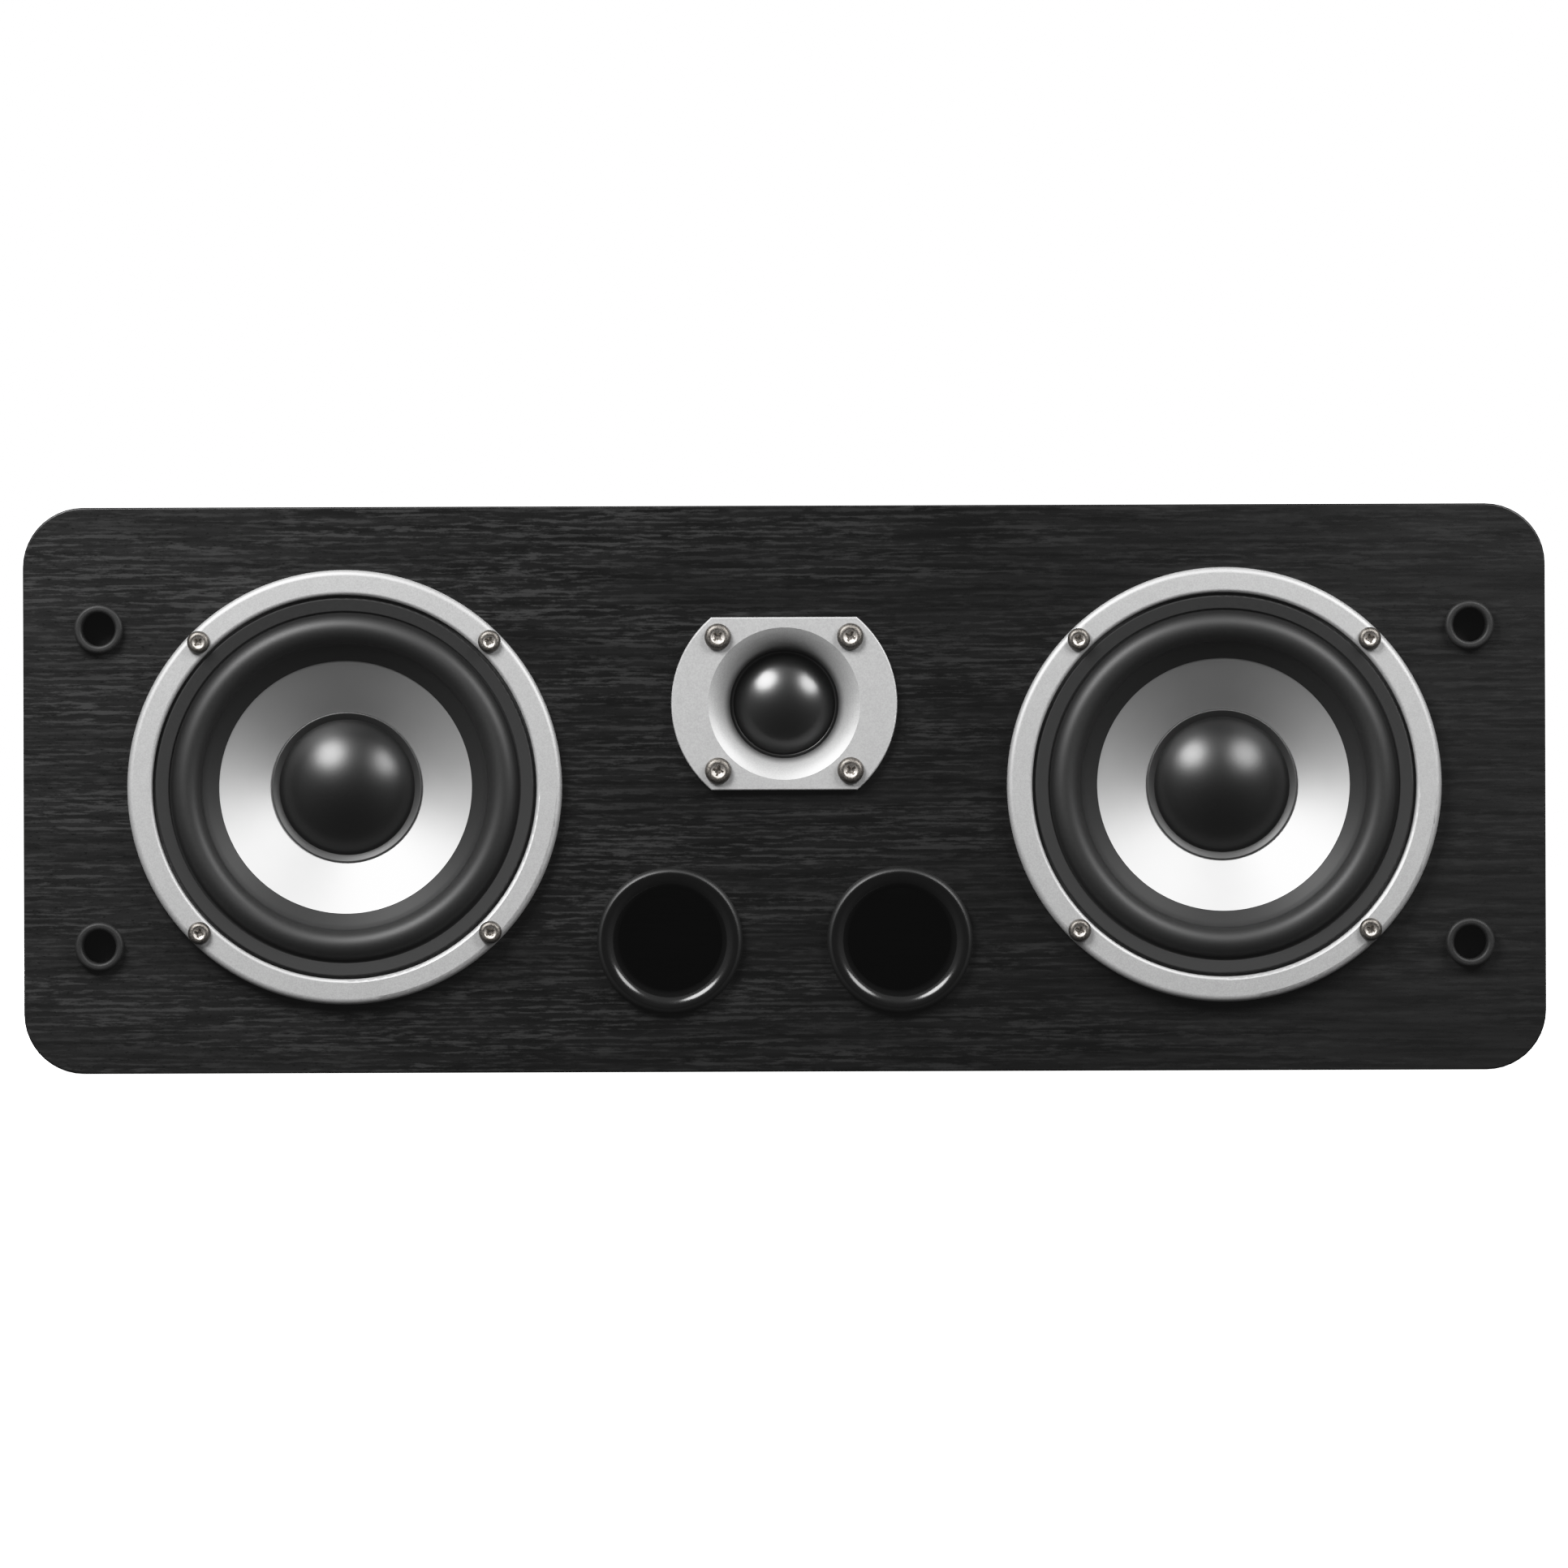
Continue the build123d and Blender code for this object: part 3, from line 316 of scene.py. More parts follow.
pale_shader.inputs["Emission Strength"].default_value = FLOOR_GLOW
floor_mesh.materials.append(pale)
print("floor at z =", round(cad_box[0].z, 4))

# %% [markdown]
# ## A finish to start from
#
# Most small pieces are one colour that isn't quite even: moulded plastic, plated steel, rubber,
# sintered magnet. A fine noise moves their colour and roughness a little and adds a small bump.
# The scale of that noise in millimetres is what tells rubber from paint.

# %% A finish to start from
finishes = {}


def new_finish(slot):
    """An empty finish for a material slot: its shader and the place on the object."""
    material = bpy.data.materials.new(slot)
    material.use_nodes = True
    tree = material.node_tree
    shader = tree.nodes["Principled BSDF"]
    place = Field(tree, tree.nodes.new("ShaderNodeTexCoord").outputs["Object"])
    finishes[slot] = material
    return shader, place


def feed(shader, **sockets):
    """Set or link the shader's sockets; Base_Color stands for Base Color."""
    for key, value in sockets.items():
        socket = shader.inputs[key.replace("_", " ")]
        if isinstance(value, Field):
            value.tree.links.new(value.socket, socket)
        else:
            socket.default_value = value


def bump(height, distance, strength=1.0):
    return height.node("ShaderNodeBump", {}, {"Height": height, "Distance": distance, "Strength": strength})


def grainy(slot, dark, light, grain, roughness, depth=0.0, metallic=0.0, detail=3.0, **extra):
    """An even finish with a fine grain, its size and depth in millimetres."""
    shader, place = new_finish(slot)
    fine = 1 / (grain * MM)
    speck = place.stretched(fine, fine, fine).noise(detail, 0.6)
    mask = speck.rise(0.3, 0.7)
    feed(shader, Base_Color=mask.mix(dark, light), Metallic=metallic)
    feed(shader, Roughness=roughness[0] + (roughness[1] - roughness[0]) * mask)
    if depth:
        feed(shader, Normal=bump(speck, depth * MM))
    feed(shader, **extra)


grainy("socket_rubber", grey(0.005), grey(0.007), 0.5, (0.5, 0.6), depth=0.006, Specular_IOR_Level=0.3)
grainy("screw_black", grey(0.012), grey(0.022), 0.4, (0.35, 0.5), metallic=0.6)
grainy("motor_steel", grey(0.42), grey(0.56), 2.5, (0.3, 0.45), metallic=1.0)
grainy("ferrite", grey(0.045), grey(0.085), 0.8, (0.6, 0.8), depth=0.05)
grainy("terminal_board", (0.2, 0.1, 0.045, 1), (0.3, 0.16, 0.075, 1), 1.5, (0.45, 0.6))
grainy("lead_insulation", grey(0.02), grey(0.034), 1.2, (0.4, 0.55))
grainy("cup_plastic", grey(0.014), grey(0.024), 0.7, (0.45, 0.6), depth=0.08)
grainy("gold_plate", (0.72, 0.5, 0.17, 1), (0.86, 0.64, 0.28, 1), 1.0, (0.16, 0.3), metallic=1.0)
grainy("knob_red", (0.32, 0.008, 0.008, 1), (0.46, 0.014, 0.012, 1), 3.0, (0.2, 0.3), Coat_Weight=0.4)
grainy("knob_black", grey(0.012), grey(0.02), 3.0, (0.2, 0.3), Coat_Weight=0.4)
grainy("capacitor_sleeve", (0.02, 0.03, 0.09, 1), (0.035, 0.05, 0.13, 1), 4.0, (0.25, 0.35))
grainy("resistor_ceramic", grey(0.55), grey(0.72), 0.9, (0.7, 0.9), depth=0.06)
grainy("basket_paint", grey(0.014), grey(0.024), 0.9, (0.35, 0.5), depth=0.03)
grainy("gasket_foam", grey(0.007), grey(0.01), 0.6, (0.65, 0.75), depth=0.01, Specular_IOR_Level=0.3)
print("even finishes:", sorted(finishes))

# %% [markdown]
# ## Black ash
#
# The box wears a printed and embossed film. Its grain runs along the box in short broken dashes,
# crowded in some bands and missing in others, and the dashes are a little paler and rougher than the ground.
# Noise that is stretched along the grain gives the dashes; a second, much larger one says where they crowd.
# On the sleeve the film goes round the corners: X less Z, measured from the middle height, runs on
# without a break from the top to an end, and its sign turns over softly in the middle of the box.
# Round the box the film is duller than on the two flat panels, which were pressed against a polished plate.
# On the panels the dashes are painted boldest at the left, where the light grazes the film, and the ground is
# painted paler towards both ends for the lamps' sheen there: both are painted light.

# %% Black ash
GRAIN_WAVE = 1.0
GRAIN_TURNS = 0.2
PANEL_ROUGHNESS = 0.265
SLEEVE_ROUGHNESS = 0.6
PANEL_STREAK, SLEEVE_STREAK = 0.021, 0.042


def black_ash(slot):
    """Black ash film, its grain along X on the front and the back and round the box on the sleeve."""
    shader, place = new_finish(slot)
    x, y, z = place.axes()
    normal = place.node("ShaderNodeTexCoord", {}, {}, output="Normal").axes()
    facing = abs(normal[1]).rise(0.6, 0.8)
    to_right = 2 * x.rise(-GRAIN_TURNS, GRAIN_TURNS) - 1
    along_grain = x - (1 - facing) * to_right * (z - CENTRE.z)
    across = y + (z - y) * facing
    drift = place.vector(along_grain * 9, across * 30, 0.0).noise(1.0)
    across = across + (drift - 0.5) * (GRAIN_WAVE * MM)
    crowd = place.vector(along_grain * 9, across * 70, 3.0).noise(3.0, 0.6).rise(0.36, 0.6)
    lines = place.vector(along_grain * 34, across * 960, 7.0).noise(2.0, 0.5)
    breaks = place.vector(along_grain * 190, across * 1150, 11.0).noise(2.0, 0.5)
    fray = place.vector(along_grain * 1300, across * 2200, 5.0).noise(1.0)
    dash = (0.5 * lines + 0.4 * breaks + 0.1 * fray).rise(0.475, 0.595)
    shade = place.vector(along_grain * 30, across * 420, 13.0).noise(2.0, 0.5).rise(0.3, 0.7)
    pores = place.vector(along_grain * 600, across * 1900, 9.0).noise(1.0).rise(0.6, 0.75)
    # Painted light: the dashes and pores show stronger at the left, where the light grazes the panels.
    lit_left_boldness = 1 - (0.72 - 0.57 * (0.0 - x).rise(-0.2, 0.2)) * facing
    # Painted sheen: the ground is made paler towards both ends, standing in for the lamps' reflection there.
    ends = abs(x).rise(0.06, 0.19)
    tone = dash * (0.3 + 0.7 * crowd) * lit_left_boldness
    ground = shade.mix(ends.mix(grey(0.002), grey(0.005)), ends.mix(grey(0.005), grey(0.009)))
    ground = (pores * lit_left_boldness).mix(ground, grey(0.002))
    film = SLEEVE_ROUGHNESS + (PANEL_ROUGHNESS - SLEEVE_ROUGHNESS) * facing
    streak = facing.mix(grey(SLEEVE_STREAK), grey(PANEL_STREAK))
    feed(shader, Base_Color=tone.mix(ground, streak))
    feed(shader, Roughness=film + 0.03 * shade + 0.2 * tone - 0.05 * pores)
    feed(shader, Normal=bump(tone - 0.5 * pores, 0.02 * MM, 0.4), Specular_IOR_Level=0.2)


black_ash("cabinet_vinyl")
black_ash("rear_vinyl")
print("black ash on the baffle, the rear panel and the sleeve")

# %% [markdown]
# ## Silver
#
# The rings and the tweeter's plate are painted silver: metal flake under a satin lacquer,
# even from a step away and finely speckled close up. The cones are smoother, a metallised skin on pressed foil,
# with turning marks so fine that they only stretch the light around the axis.
# The plate's colour darkens towards the throat of the tweeter: painted shade, standing in for the shadow deep in
# the horn.
# Both woofers share the finish, so it measures the radius from the nearer one by taking X without its sign.

# %% Silver
HORN_THROAT = 15.2
THROAT_SHADE_WIDTH = 2.2


def from_axis(place, axis):
    """The distance from an axis or from its mirror image on the other side of the box."""
    x, y, z = place.axes()
    flat = place.vector(abs(x) - abs(axis.x), z - axis.z, 0.0)
    return flat.node("ShaderNodeVectorMath", {"operation": "LENGTH"}, {0: flat}, output="Value")


shader, place = new_finish("silver_trim")
flake = place.stretched(2600, 2600, 2600).noise(2.0, 0.7)
cloudy = place.stretched(160, 160, 160).noise(2.0, 0.5)
tone = flake.rise(0.25, 0.75) * 0.75 + cloudy * 0.25
coat = tone.mix(grey(0.31), grey(0.41))
# Painted shade: the plate turns dark within a few millimetres of the tweeter's throat.
clear_of_throat_shade = from_axis(place, TWEETER).rise(HORN_THROAT * MM, (HORN_THROAT + THROAT_SHADE_WIDTH) * MM)
feed(shader, Base_Color=clear_of_throat_shade.mix(grey(0.09), coat), Metallic=0.5)
feed(shader, Roughness=0.42 + 0.12 * flake, Normal=bump(flake, 0.02 * MM, 0.5))

shader, place = new_finish("silver_cone")
rings = place.vector(from_axis(place, WOOFER["right"]) * 2400, 0.0, 0.0).noise(2.0, 0.6)
haze = place.stretched(90, 90, 90).noise(2.0, 0.5)
feed(shader, Base_Color=haze.mix(grey(0.437), grey(0.485)), Metallic=1.0)
feed(shader, Roughness=0.55 + 0.06 * rings, Normal=bump(rings, 0.004 * MM, 0.4))
print("silver on the rings, the plate and the cones")

# %% [markdown]
# ## Rubber, plastic and cloth on the drivers
#
# The surround is satin rubber. The dust cap is satin plastic, and its skirt is rougher than its dome,
# with a thin coat that catches the light. The ports are polished plastic with a grained rim.
# The tweeter's dome is cloth under a glossy coat, with its weave just showing through.

# %% Rubber, plastic and cloth on the drivers
CAP_FOLD = 19.2
PORT_EDGE = 19.5
THREAD = 2 * math.pi / (0.35 * MM)

rubber = {"depth": 0.006, "Specular_IOR_Level": 0.42}
grainy("surround_rubber", grey(0.004), grey(0.006), 0.35, (0.48, 0.54), **rubber)

shader, place = new_finish("cap_plastic")
speck = place.stretched(1800, 1800, 1800).noise(3.0, 0.6)
skirt = from_axis(place, WOOFER["right"]).rise((CAP_FOLD - 0.1) * MM, (CAP_FOLD + 0.1) * MM)
feed(shader, Base_Color=speck.mix(grey(0.001), grey(0.002)))
feed(shader, Roughness=0.31 + 0.06 * speck + 0.22 * skirt, Normal=bump(speck, 0.006 * MM))
feed(shader, Coat_Weight=0.8 * skirt, Coat_Roughness=0.5)

shader, place = new_finish("port_plastic")
speck = place.stretched(900, 900, 900).noise(3.0, 0.6)
rim = from_axis(place, middle("right_port_tube")).rise((PORT_EDGE - 0.5) * MM, (PORT_EDGE + 0.3) * MM)
feed(shader, Base_Color=speck.mix(grey(0.002), grey(0.003)))
feed(shader, Roughness=0.15 + 0.05 * speck + 0.3 * rim, Normal=bump(speck * rim, 0.008 * MM))
feed(shader, Specular_IOR_Level=0.35)

shader, place = new_finish("silk_dome")
x, y, z = place.axes()
warp = (x * THREAD).sum("SINE", x * THREAD, 0.0)
weft = (z * THREAD).sum("SINE", z * THREAD, 0.0)
weave = (warp * weft) * 0.5 + 0.5
feed(shader, Base_Color=weave.mix(grey(0.001), grey(0.003)), Roughness=0.26 + 0.05 * weave)
feed(shader, Normal=bump(weave, 0.004 * MM, 0.5), Specular_IOR_Level=0.75)
print("drivers dressed:", list(finishes)[-4:])

# %% [markdown]
# ## Wire, cloth and wadding inside
#
# Nobody sees the inside with the box closed, but it belongs to the speaker, so its pieces get finishes too:
# copper wound in fine turns, a resin-stiffened spider cloth, braided tinsel, white wadding, a green board.

# %% Wire, cloth and wadding inside
shader, place = new_finish("coil_copper")
x, y, z = place.axes()
WIRE = 2 * math.pi / (0.4 * MM)
turns = (y * WIRE).sum("SINE", y * WIRE, 0.0) * 0.5 + 0.5
feed(shader, Base_Color=turns.mix((0.34, 0.13, 0.05, 1), (0.66, 0.32, 0.16, 1)), Metallic=1.0)
feed(shader, Roughness=0.3 + 0.1 * turns, Normal=bump(turns, 0.1 * MM))

shader, place = new_finish("spider_cloth")
x, y, z = place.axes()
YARN = 2 * math.pi / (0.7 * MM)
cloth = (x * YARN).sum("SINE", x * YARN, 0.0) * (z * YARN).sum("SINE", z * YARN, 0.0) * 0.5 + 0.5
feed(shader, Base_Color=cloth.mix((0.3, 0.17, 0.04, 1), (0.48, 0.31, 0.1, 1)), Roughness=0.7 + 0.2 * cloth)
feed(shader, Normal=bump(cloth, 0.08 * MM))

shader, place = new_finish("tinsel")
x, y, z = place.axes()
BRAID = 2 * math.pi / (0.6 * MM)
braid = ((y + x) * BRAID).sum("SINE", (y + x) * BRAID, 0.0) * 0.5 + 0.5
feed(shader, Base_Color=braid.mix((0.34, 0.17, 0.08, 1), (0.68, 0.42, 0.24, 1)), Metallic=1.0)
feed(shader, Roughness=0.35 + 0.15 * braid, Normal=bump(braid, 0.08 * MM))

shader, place = new_finish("wadding")
fluff = place.stretched(700, 700, 700).noise(5.0, 0.7)
feed(shader, Base_Color=fluff.rise(0.3, 0.7).mix(grey(0.5), grey(0.78)), Roughness=0.9 + 0.1 * fluff)
feed(shader, Normal=bump(fluff, 0.8 * MM))
feed(shader, Sheen_Weight=0.5)

shader, place = new_finish("circuit_board")
tracks = place.vector(place.axes()[0] * 160, 0.0, place.axes()[2] * 60).noise(0.0)
copper = tracks.rise(0.52, 0.54)
feed(shader, Base_Color=copper.mix((0.012, 0.06, 0.02, 1), (0.03, 0.12, 0.04, 1)))
feed(shader, Roughness=0.35 + 0.1 * copper)

shader, place = new_finish("screw_nickel")
scuff = place.stretched(3000, 3000, 3000).noise(3.0, 0.65).rise(0.3, 0.7)
# Painted light and shade: the head's middle takes a light colour and its rim a dark one.
bare = place.node("ShaderNodeAttribute", {"attribute_name": "bare"}, {}, output="Fac")
shaded_rim_colour = scuff.mix((0.07, 0.064, 0.058, 1), (0.2, 0.186, 0.17, 1))
lit_middle_colour = scuff.mix((0.3, 0.28, 0.255, 1), (0.5, 0.47, 0.44, 1))
feed(shader, Base_Color=bare.mix(shaded_rim_colour, lit_middle_colour), Metallic=1.0)
feed(shader, Roughness=0.4 + 0.15 * scuff)
print("finishes:", len(finishes))

# %% [markdown]
# ## Pieces turned on a lathe
#
# Surrounds, caps, domes, spiders and screw blanks are all one outline turned about an axis.
# A Screw modifier could do it, but a small Geometry Nodes tree keeps the number of steps as a named input:
# the outline becomes a curve, a circle carries it round, and points that meet on the axis are merged.
# The circle has a radius of one metre, so an outline point sits at its own radius less one metre.

# %% Pieces turned on a lathe
PATH = 1.0


def node_tree(name, **sockets):
    """A Geometry Nodes tree with named inputs; returns it with its input sockets by name."""
    tree = bpy.data.node_groups.new(name, "GeometryNodeTree")
    for label, kind in sockets.items():
        tree.interface.new_socket(label.replace("_", " "), in_out="INPUT", socket_type=f"NodeSocket{kind}")
    tree.interface.new_socket("Piece", in_out="OUTPUT", socket_type="NodeSocketGeometry")
    start = tree.nodes.new("NodeGroupInput")
    return tree, [Field(tree, socket) for socket in start.outputs[:-1]]


def finish_tree(shape, material):
    """Realize the instances, set the material and hand the shape to the tree's output."""
    whole = shape.node("GeometryNodeRealizeInstances", {}, {"Geometry": shape})
    dressed = whole.node("GeometryNodeSetMaterial", {}, {"Geometry": whole, "Material": material})
    end = shape.tree.nodes.new("NodeGroupOutput")
    shape.tree.links.new(dressed.socket, end.inputs[0])


turning, (outline, steps, finish) = node_tree("turning", Outline="Geometry", Steps="Int", Finish="Material")
line = outline.node("GeometryNodeMeshToCurve", {}, {"Mesh": outline})
path = outline.node("GeometryNodeCurvePrimitiveCircle", {}, {"Resolution": steps, "Radius": PATH})
turned = path.node("GeometryNodeCurveToMesh", {}, {"Curve": path, "Profile Curve": line})
turned = turned.node("GeometryNodeMergeByDistance", {}, {"Geometry": turned, "Distance": 0.003 * MM})
turned = turned.node("GeometryNodeSetShadeSmooth", {}, {"Geometry": turned, "Shade Smooth": True})
finish_tree(turned, finish)
print("tree:", turning.name, "with", len(turning.nodes), "nodes")

# %% [markdown]
# ## From tree to plain mesh
#
# The tree works on a carrier object. Its inputs are set by their identifiers, the result is read back
# as a plain mesh, and the carrier is thrown away. Faces are pointed outwards.
# Turned meshes stand on Z, so they are then laid over to face the front and moved to their axis.

# %% From tree to plain mesh


def bake(name, seed, tree, **values):
    """Run a tree on a seed mesh and return the result as a plain mesh."""
    carrier = bpy.data.objects.new(name, seed)
    scene.collection.objects.link(carrier)
    modifier = carrier.modifiers.new("tree", "NODES")
    modifier.node_group = tree
    for item in tree.interface.items_tree:
        if item.name in values:
            modifier[item.identifier] = values[item.name]
    ready = carrier.evaluated_get(bpy.context.evaluated_depsgraph_get())
    mesh = bpy.data.meshes.new_from_object(ready)
    bpy.data.objects.remove(carrier)
    mesh.name = name
    return mesh


def outward(mesh):
    """Point the faces of a closed mesh outwards."""
    shell = bmesh.new()
    shell.from_mesh(mesh)
    bmesh.ops.recalc_face_normals(shell, faces=shell.faces)
    shell.to_mesh(mesh)
    shell.free()


def turn(name, points, finish, closed=False, steps=128):
    """Turn an outline of (radius, height) points, in millimetres, about Z."""
    seed = bpy.data.meshes.new(name)
    links = [(i, i + 1) for i in range(len(points) - 1)]
    if closed:
        links.append((len(points) - 1, 0))
    seed.from_pydata([(r * MM - PATH, -h * MM, 0.0) for r, h in points], links, [])
    mesh = bake(name, seed, turning, Steps=steps, Finish=finishes[finish])
    outward(mesh)
    return mesh


def face_front(mesh, axis):
    """Lay a mesh that stands on Z over to face the front, on the axis through the given point."""
    mesh.transform(Matrix.Translation((axis.x, FRONT, axis.z)) @ Matrix.Rotation(math.pi / 2, 4, "X"))


def new_piece(mesh, slot, *replaced):
    """An object for a finished mesh, standing for the nodes that it replaces."""
    piece = bpy.data.objects.new(mesh.name, mesh)
    scene.collection.objects.link(piece)
    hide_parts(*replaced)
    return piece


print("helpers ready")

# %% [markdown]
# ## Sheets with an eased line
#
# Rubber and cloth have no sharp folds. A sheet is given by the line through its thickness:
# straight runs and arcs are cut into short even steps, the corners are worked round by averaging neighbours,
# and the two faces are offset from that line and joined by a round edge.

# %% Sheets with an eased line


def eased(points, step, passes):
    """A line of straight runs in even steps, with its corners worked round and its ends kept."""
    line = np.array(points, float)
    run = np.r_[0, np.cumsum(np.hypot(*np.diff(line, axis=0).T))]
    at = np.linspace(0, run[-1], int(run[-1] / step) + 1)
    line = np.c_[np.interp(at, run, line[:, 0]), np.interp(at, run, line[:, 1])]
    for _ in range(passes):
        line[1:-1] = (line[:-2] + 2 * line[1:-1] + line[2:]) / 4
    return line


def sheet(line, thickness, from_middle=False):
    """Both faces of a sheet that follows the line, with round edges, as one loop; thickness may vary."""
    half = np.broadcast_to(np.asarray(thickness, float) / 2, len(line))[:, None]
    along = np.gradient(line, axis=0)
    along /= np.linalg.norm(along, axis=1)[:, None]
    across = np.c_[-along[:, 1], along[:, 0]]
    half_turn = np.linspace(0, math.pi, 7)[1:-1, None]
    far = line[-1] + (across[-1] * np.cos(half_turn) + along[-1] * np.sin(half_turn)) * half[-1]
    near = line[0] + (-across[0] * np.cos(half_turn) - along[0] * np.sin(half_turn)) * half[0]
    top, bottom = line + across * half, (line - across * half)[::-1]
    return np.r_[top, far, bottom] if from_middle else np.r_[top, far, bottom, near]


def arc(centre, radius, start, stop, count=24):
    """Points of an arc about (radius, height), its angles in degrees from outwards."""
    angles = np.radians(np.linspace(start, stop, count))
    return [(centre[0] + radius * math.cos(a), centre[1] + radius * math.sin(a)) for a in angles]


CONE_SLOPE = math.radians(32)
CONE_EDGE = (40.4, -0.2)


def on_cone(radius, lift):
    """A point at a radius on the cone, lifted off it, in millimetres."""
    height = CONE_EDGE[1] - (CONE_EDGE[0] - radius) * math.tan(CONE_SLOPE)
    return radius - lift * math.sin(CONE_SLOPE), height + lift * math.cos(CONE_SLOPE)


print("cone at radius 20 mm is", round(-on_cone(20, 0)[1], 1), "mm behind the front")

# %% [markdown]
# ## Cones
#
# The cone is a straight funnel of pressed foil. It is the brightest piece of all, and it shows every flaw
# in its shading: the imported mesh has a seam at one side, where the light would jump. Turned afresh in many steps,
# it shades evenly. Its two rims are marked as sharp, so that the front doesn't look rounded.

# %% Cones
CONE_NECK = 13.1
CONE_FOIL = 0.6
CONE_STEPS = 256
SHARP = math.radians(50)

cone_loop = [on_cone(radius, 0) for radius in np.linspace(CONE_EDGE[0], CONE_NECK, 24)]
cone_loop += [on_cone(radius, -CONE_FOIL) for radius in np.linspace(CONE_NECK, CONE_EDGE[0], 24)]
for side, axis in WOOFER.items():
    mesh = turn(f"{side}_cone_foil", cone_loop, "silver_cone", closed=True, steps=CONE_STEPS)
    mesh.set_sharp_from_angle(angle=SHARP)
    face_front(mesh, axis)
    piece = new_piece(mesh, "silver_cone", f"{side}_woofer_cone")
    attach(piece, f"{side}_cone")
    print(piece.name, len(mesh.polygons), "faces")

# %% [markdown]
# ## Surrounds
#
# The surround is a moulded rubber ring: a flange glued to the cone, a half roll that bulges forward,
# and a flange under the gasket. The inner flange thins out to a feather edge on the cone.
# The roll's roots flow into both flanges, and the soft valley shows as a dark band round the cone.
# When the cone moves the roll shears. Here each point's share of that movement is worked out by radius,
# but nothing uses it: the piece doesn't bend and stays where it is made.

# %% Surrounds
ROLL_CREST = 44.8
ROLL_RADIUS = 4.3
RUBBER = 0.8
LIP = 0.25
ROLL_BASE = 1.0
FLANGE_OUTER = 53.2
CONE_SHOWS = 35.9
LIP_RUN = 0.5
ROUND_STEPS = 192


def radii(mesh, axis):
    """The distance of every point of a mesh from a driver's axis, in metres."""
    spots = np.empty(len(mesh.vertices) * 3)
    mesh.vertices.foreach_get("co", spots)
    spots = spots.reshape(-1, 3)
    return np.hypot(spots[:, 0] - axis.x, spots[:, 2] - axis.z)


def bend_by_radius(piece, axis, moving, inner, outer):
    """Bake a piece's placement into its mesh and weigh its points by radius; the weights are not kept, so the piece
    doesn't follow the moving body.
    """
    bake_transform(piece)
    share = np.clip((outer * MM - radii(piece.data, axis)) / ((outer - inner) * MM), 0, 1)
    share = share * share * (3 - 2 * share)


roll = arc((ROLL_CREST, ROLL_BASE), ROLL_RADIUS - RUBBER / 2, 180, 12)
rubber_line = [on_cone(CONE_SHOWS, LIP / 2), on_cone(CONE_EDGE[0] - LIP_RUN, RUBBER / 2), *roll]
flange_middle = ROLL_BASE + RUBBER / 2
rubber_line += [(ROLL_CREST + ROLL_RADIUS, flange_middle), (FLANGE_OUTER - RUBBER / 2, flange_middle)]
rubber_line = eased(rubber_line, 0.15, 24)
thickness = np.interp(rubber_line[:, 0], [CONE_SHOWS, CONE_EDGE[0] - LIP_RUN], [LIP, RUBBER])
bends = {"inner": CONE_EDGE[0] + 0.4, "outer": ROLL_CREST + ROLL_RADIUS - 0.3}
for side, axis in WOOFER.items():
    loop = sheet(rubber_line, thickness)
    mesh = turn(f"{side}_surround", loop, "surround_rubber", closed=True, steps=ROUND_STEPS)
    face_front(mesh, axis)
    piece = new_piece(mesh, "surround_rubber", f"{side}_woofer_surround")
    bend_by_radius(piece, axis, f"{side}_cone", **bends)
    print(piece.name, len(mesh.polygons), "faces")

# %% [markdown]
# ## Dust caps
#
# The cap is a shallow dome with a skirt that lies on the cone. The skirt's edge is rounded, and at the top
# it shows as a thin light line. The dome meets the skirt in a crisp fold, which is marked as a sharp edge.

# %% Dust caps
CAP_HALF_ANGLE = 45.0
CAP_SKIRT = 21.6
CAP_SHELL = 0.7
CAP_LIFT = 0.1

ball = CAP_FOLD / math.sin(math.radians(CAP_HALF_ANGLE))
fold = on_cone(CAP_FOLD, CAP_LIFT + CAP_SHELL)
ball_middle = (0, fold[1] - ball * math.cos(math.radians(CAP_HALF_ANGLE)))
edge = on_cone(CAP_SKIRT - CAP_SHELL / 2, CAP_LIFT + CAP_SHELL / 2)
slope = math.degrees(CONE_SLOPE)
cap_loop = arc(ball_middle, ball, 90, 90 - CAP_HALF_ANGLE, 64)
cap_loop += arc(edge, CAP_SHELL / 2, 90 + slope, slope - 90, 12)
cap_loop += [on_cone(CAP_FOLD - 1.0, CAP_LIFT)]
cap_loop += arc(ball_middle, ball - CAP_SHELL, 91 - CAP_HALF_ANGLE, 90, 32)
for side, axis in WOOFER.items():
    mesh = turn(f"{side}_dust_cap", cap_loop, "cap_plastic", steps=ROUND_STEPS)
    mesh.set_sharp_from_angle(angle=SHARP)
    face_front(mesh, axis)
    piece = new_piece(mesh, "cap_plastic", f"{side}_woofer_dust_cap")
    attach(piece, f"{side}_cone")
    print(piece.name, len(mesh.polygons), "faces")

# %% [markdown]
# ## Spiders
#
# Behind the cone, a corrugated disc of stiffened cloth centres the voice coil. Its waves are rings
# about the axis, so it is turned too, and its points are weighed by radius as the surround's are, without bending
# it.

# %% Spiders
SPIDER_INNER, SPIDER_FLAT, SPIDER_OUTER = 13.1, 27.2, 31.7
SPIDER_HEIGHT = -21.75
WAVES, WAVE_HEIGHT, CLOTH = 4, 1.0, 0.5

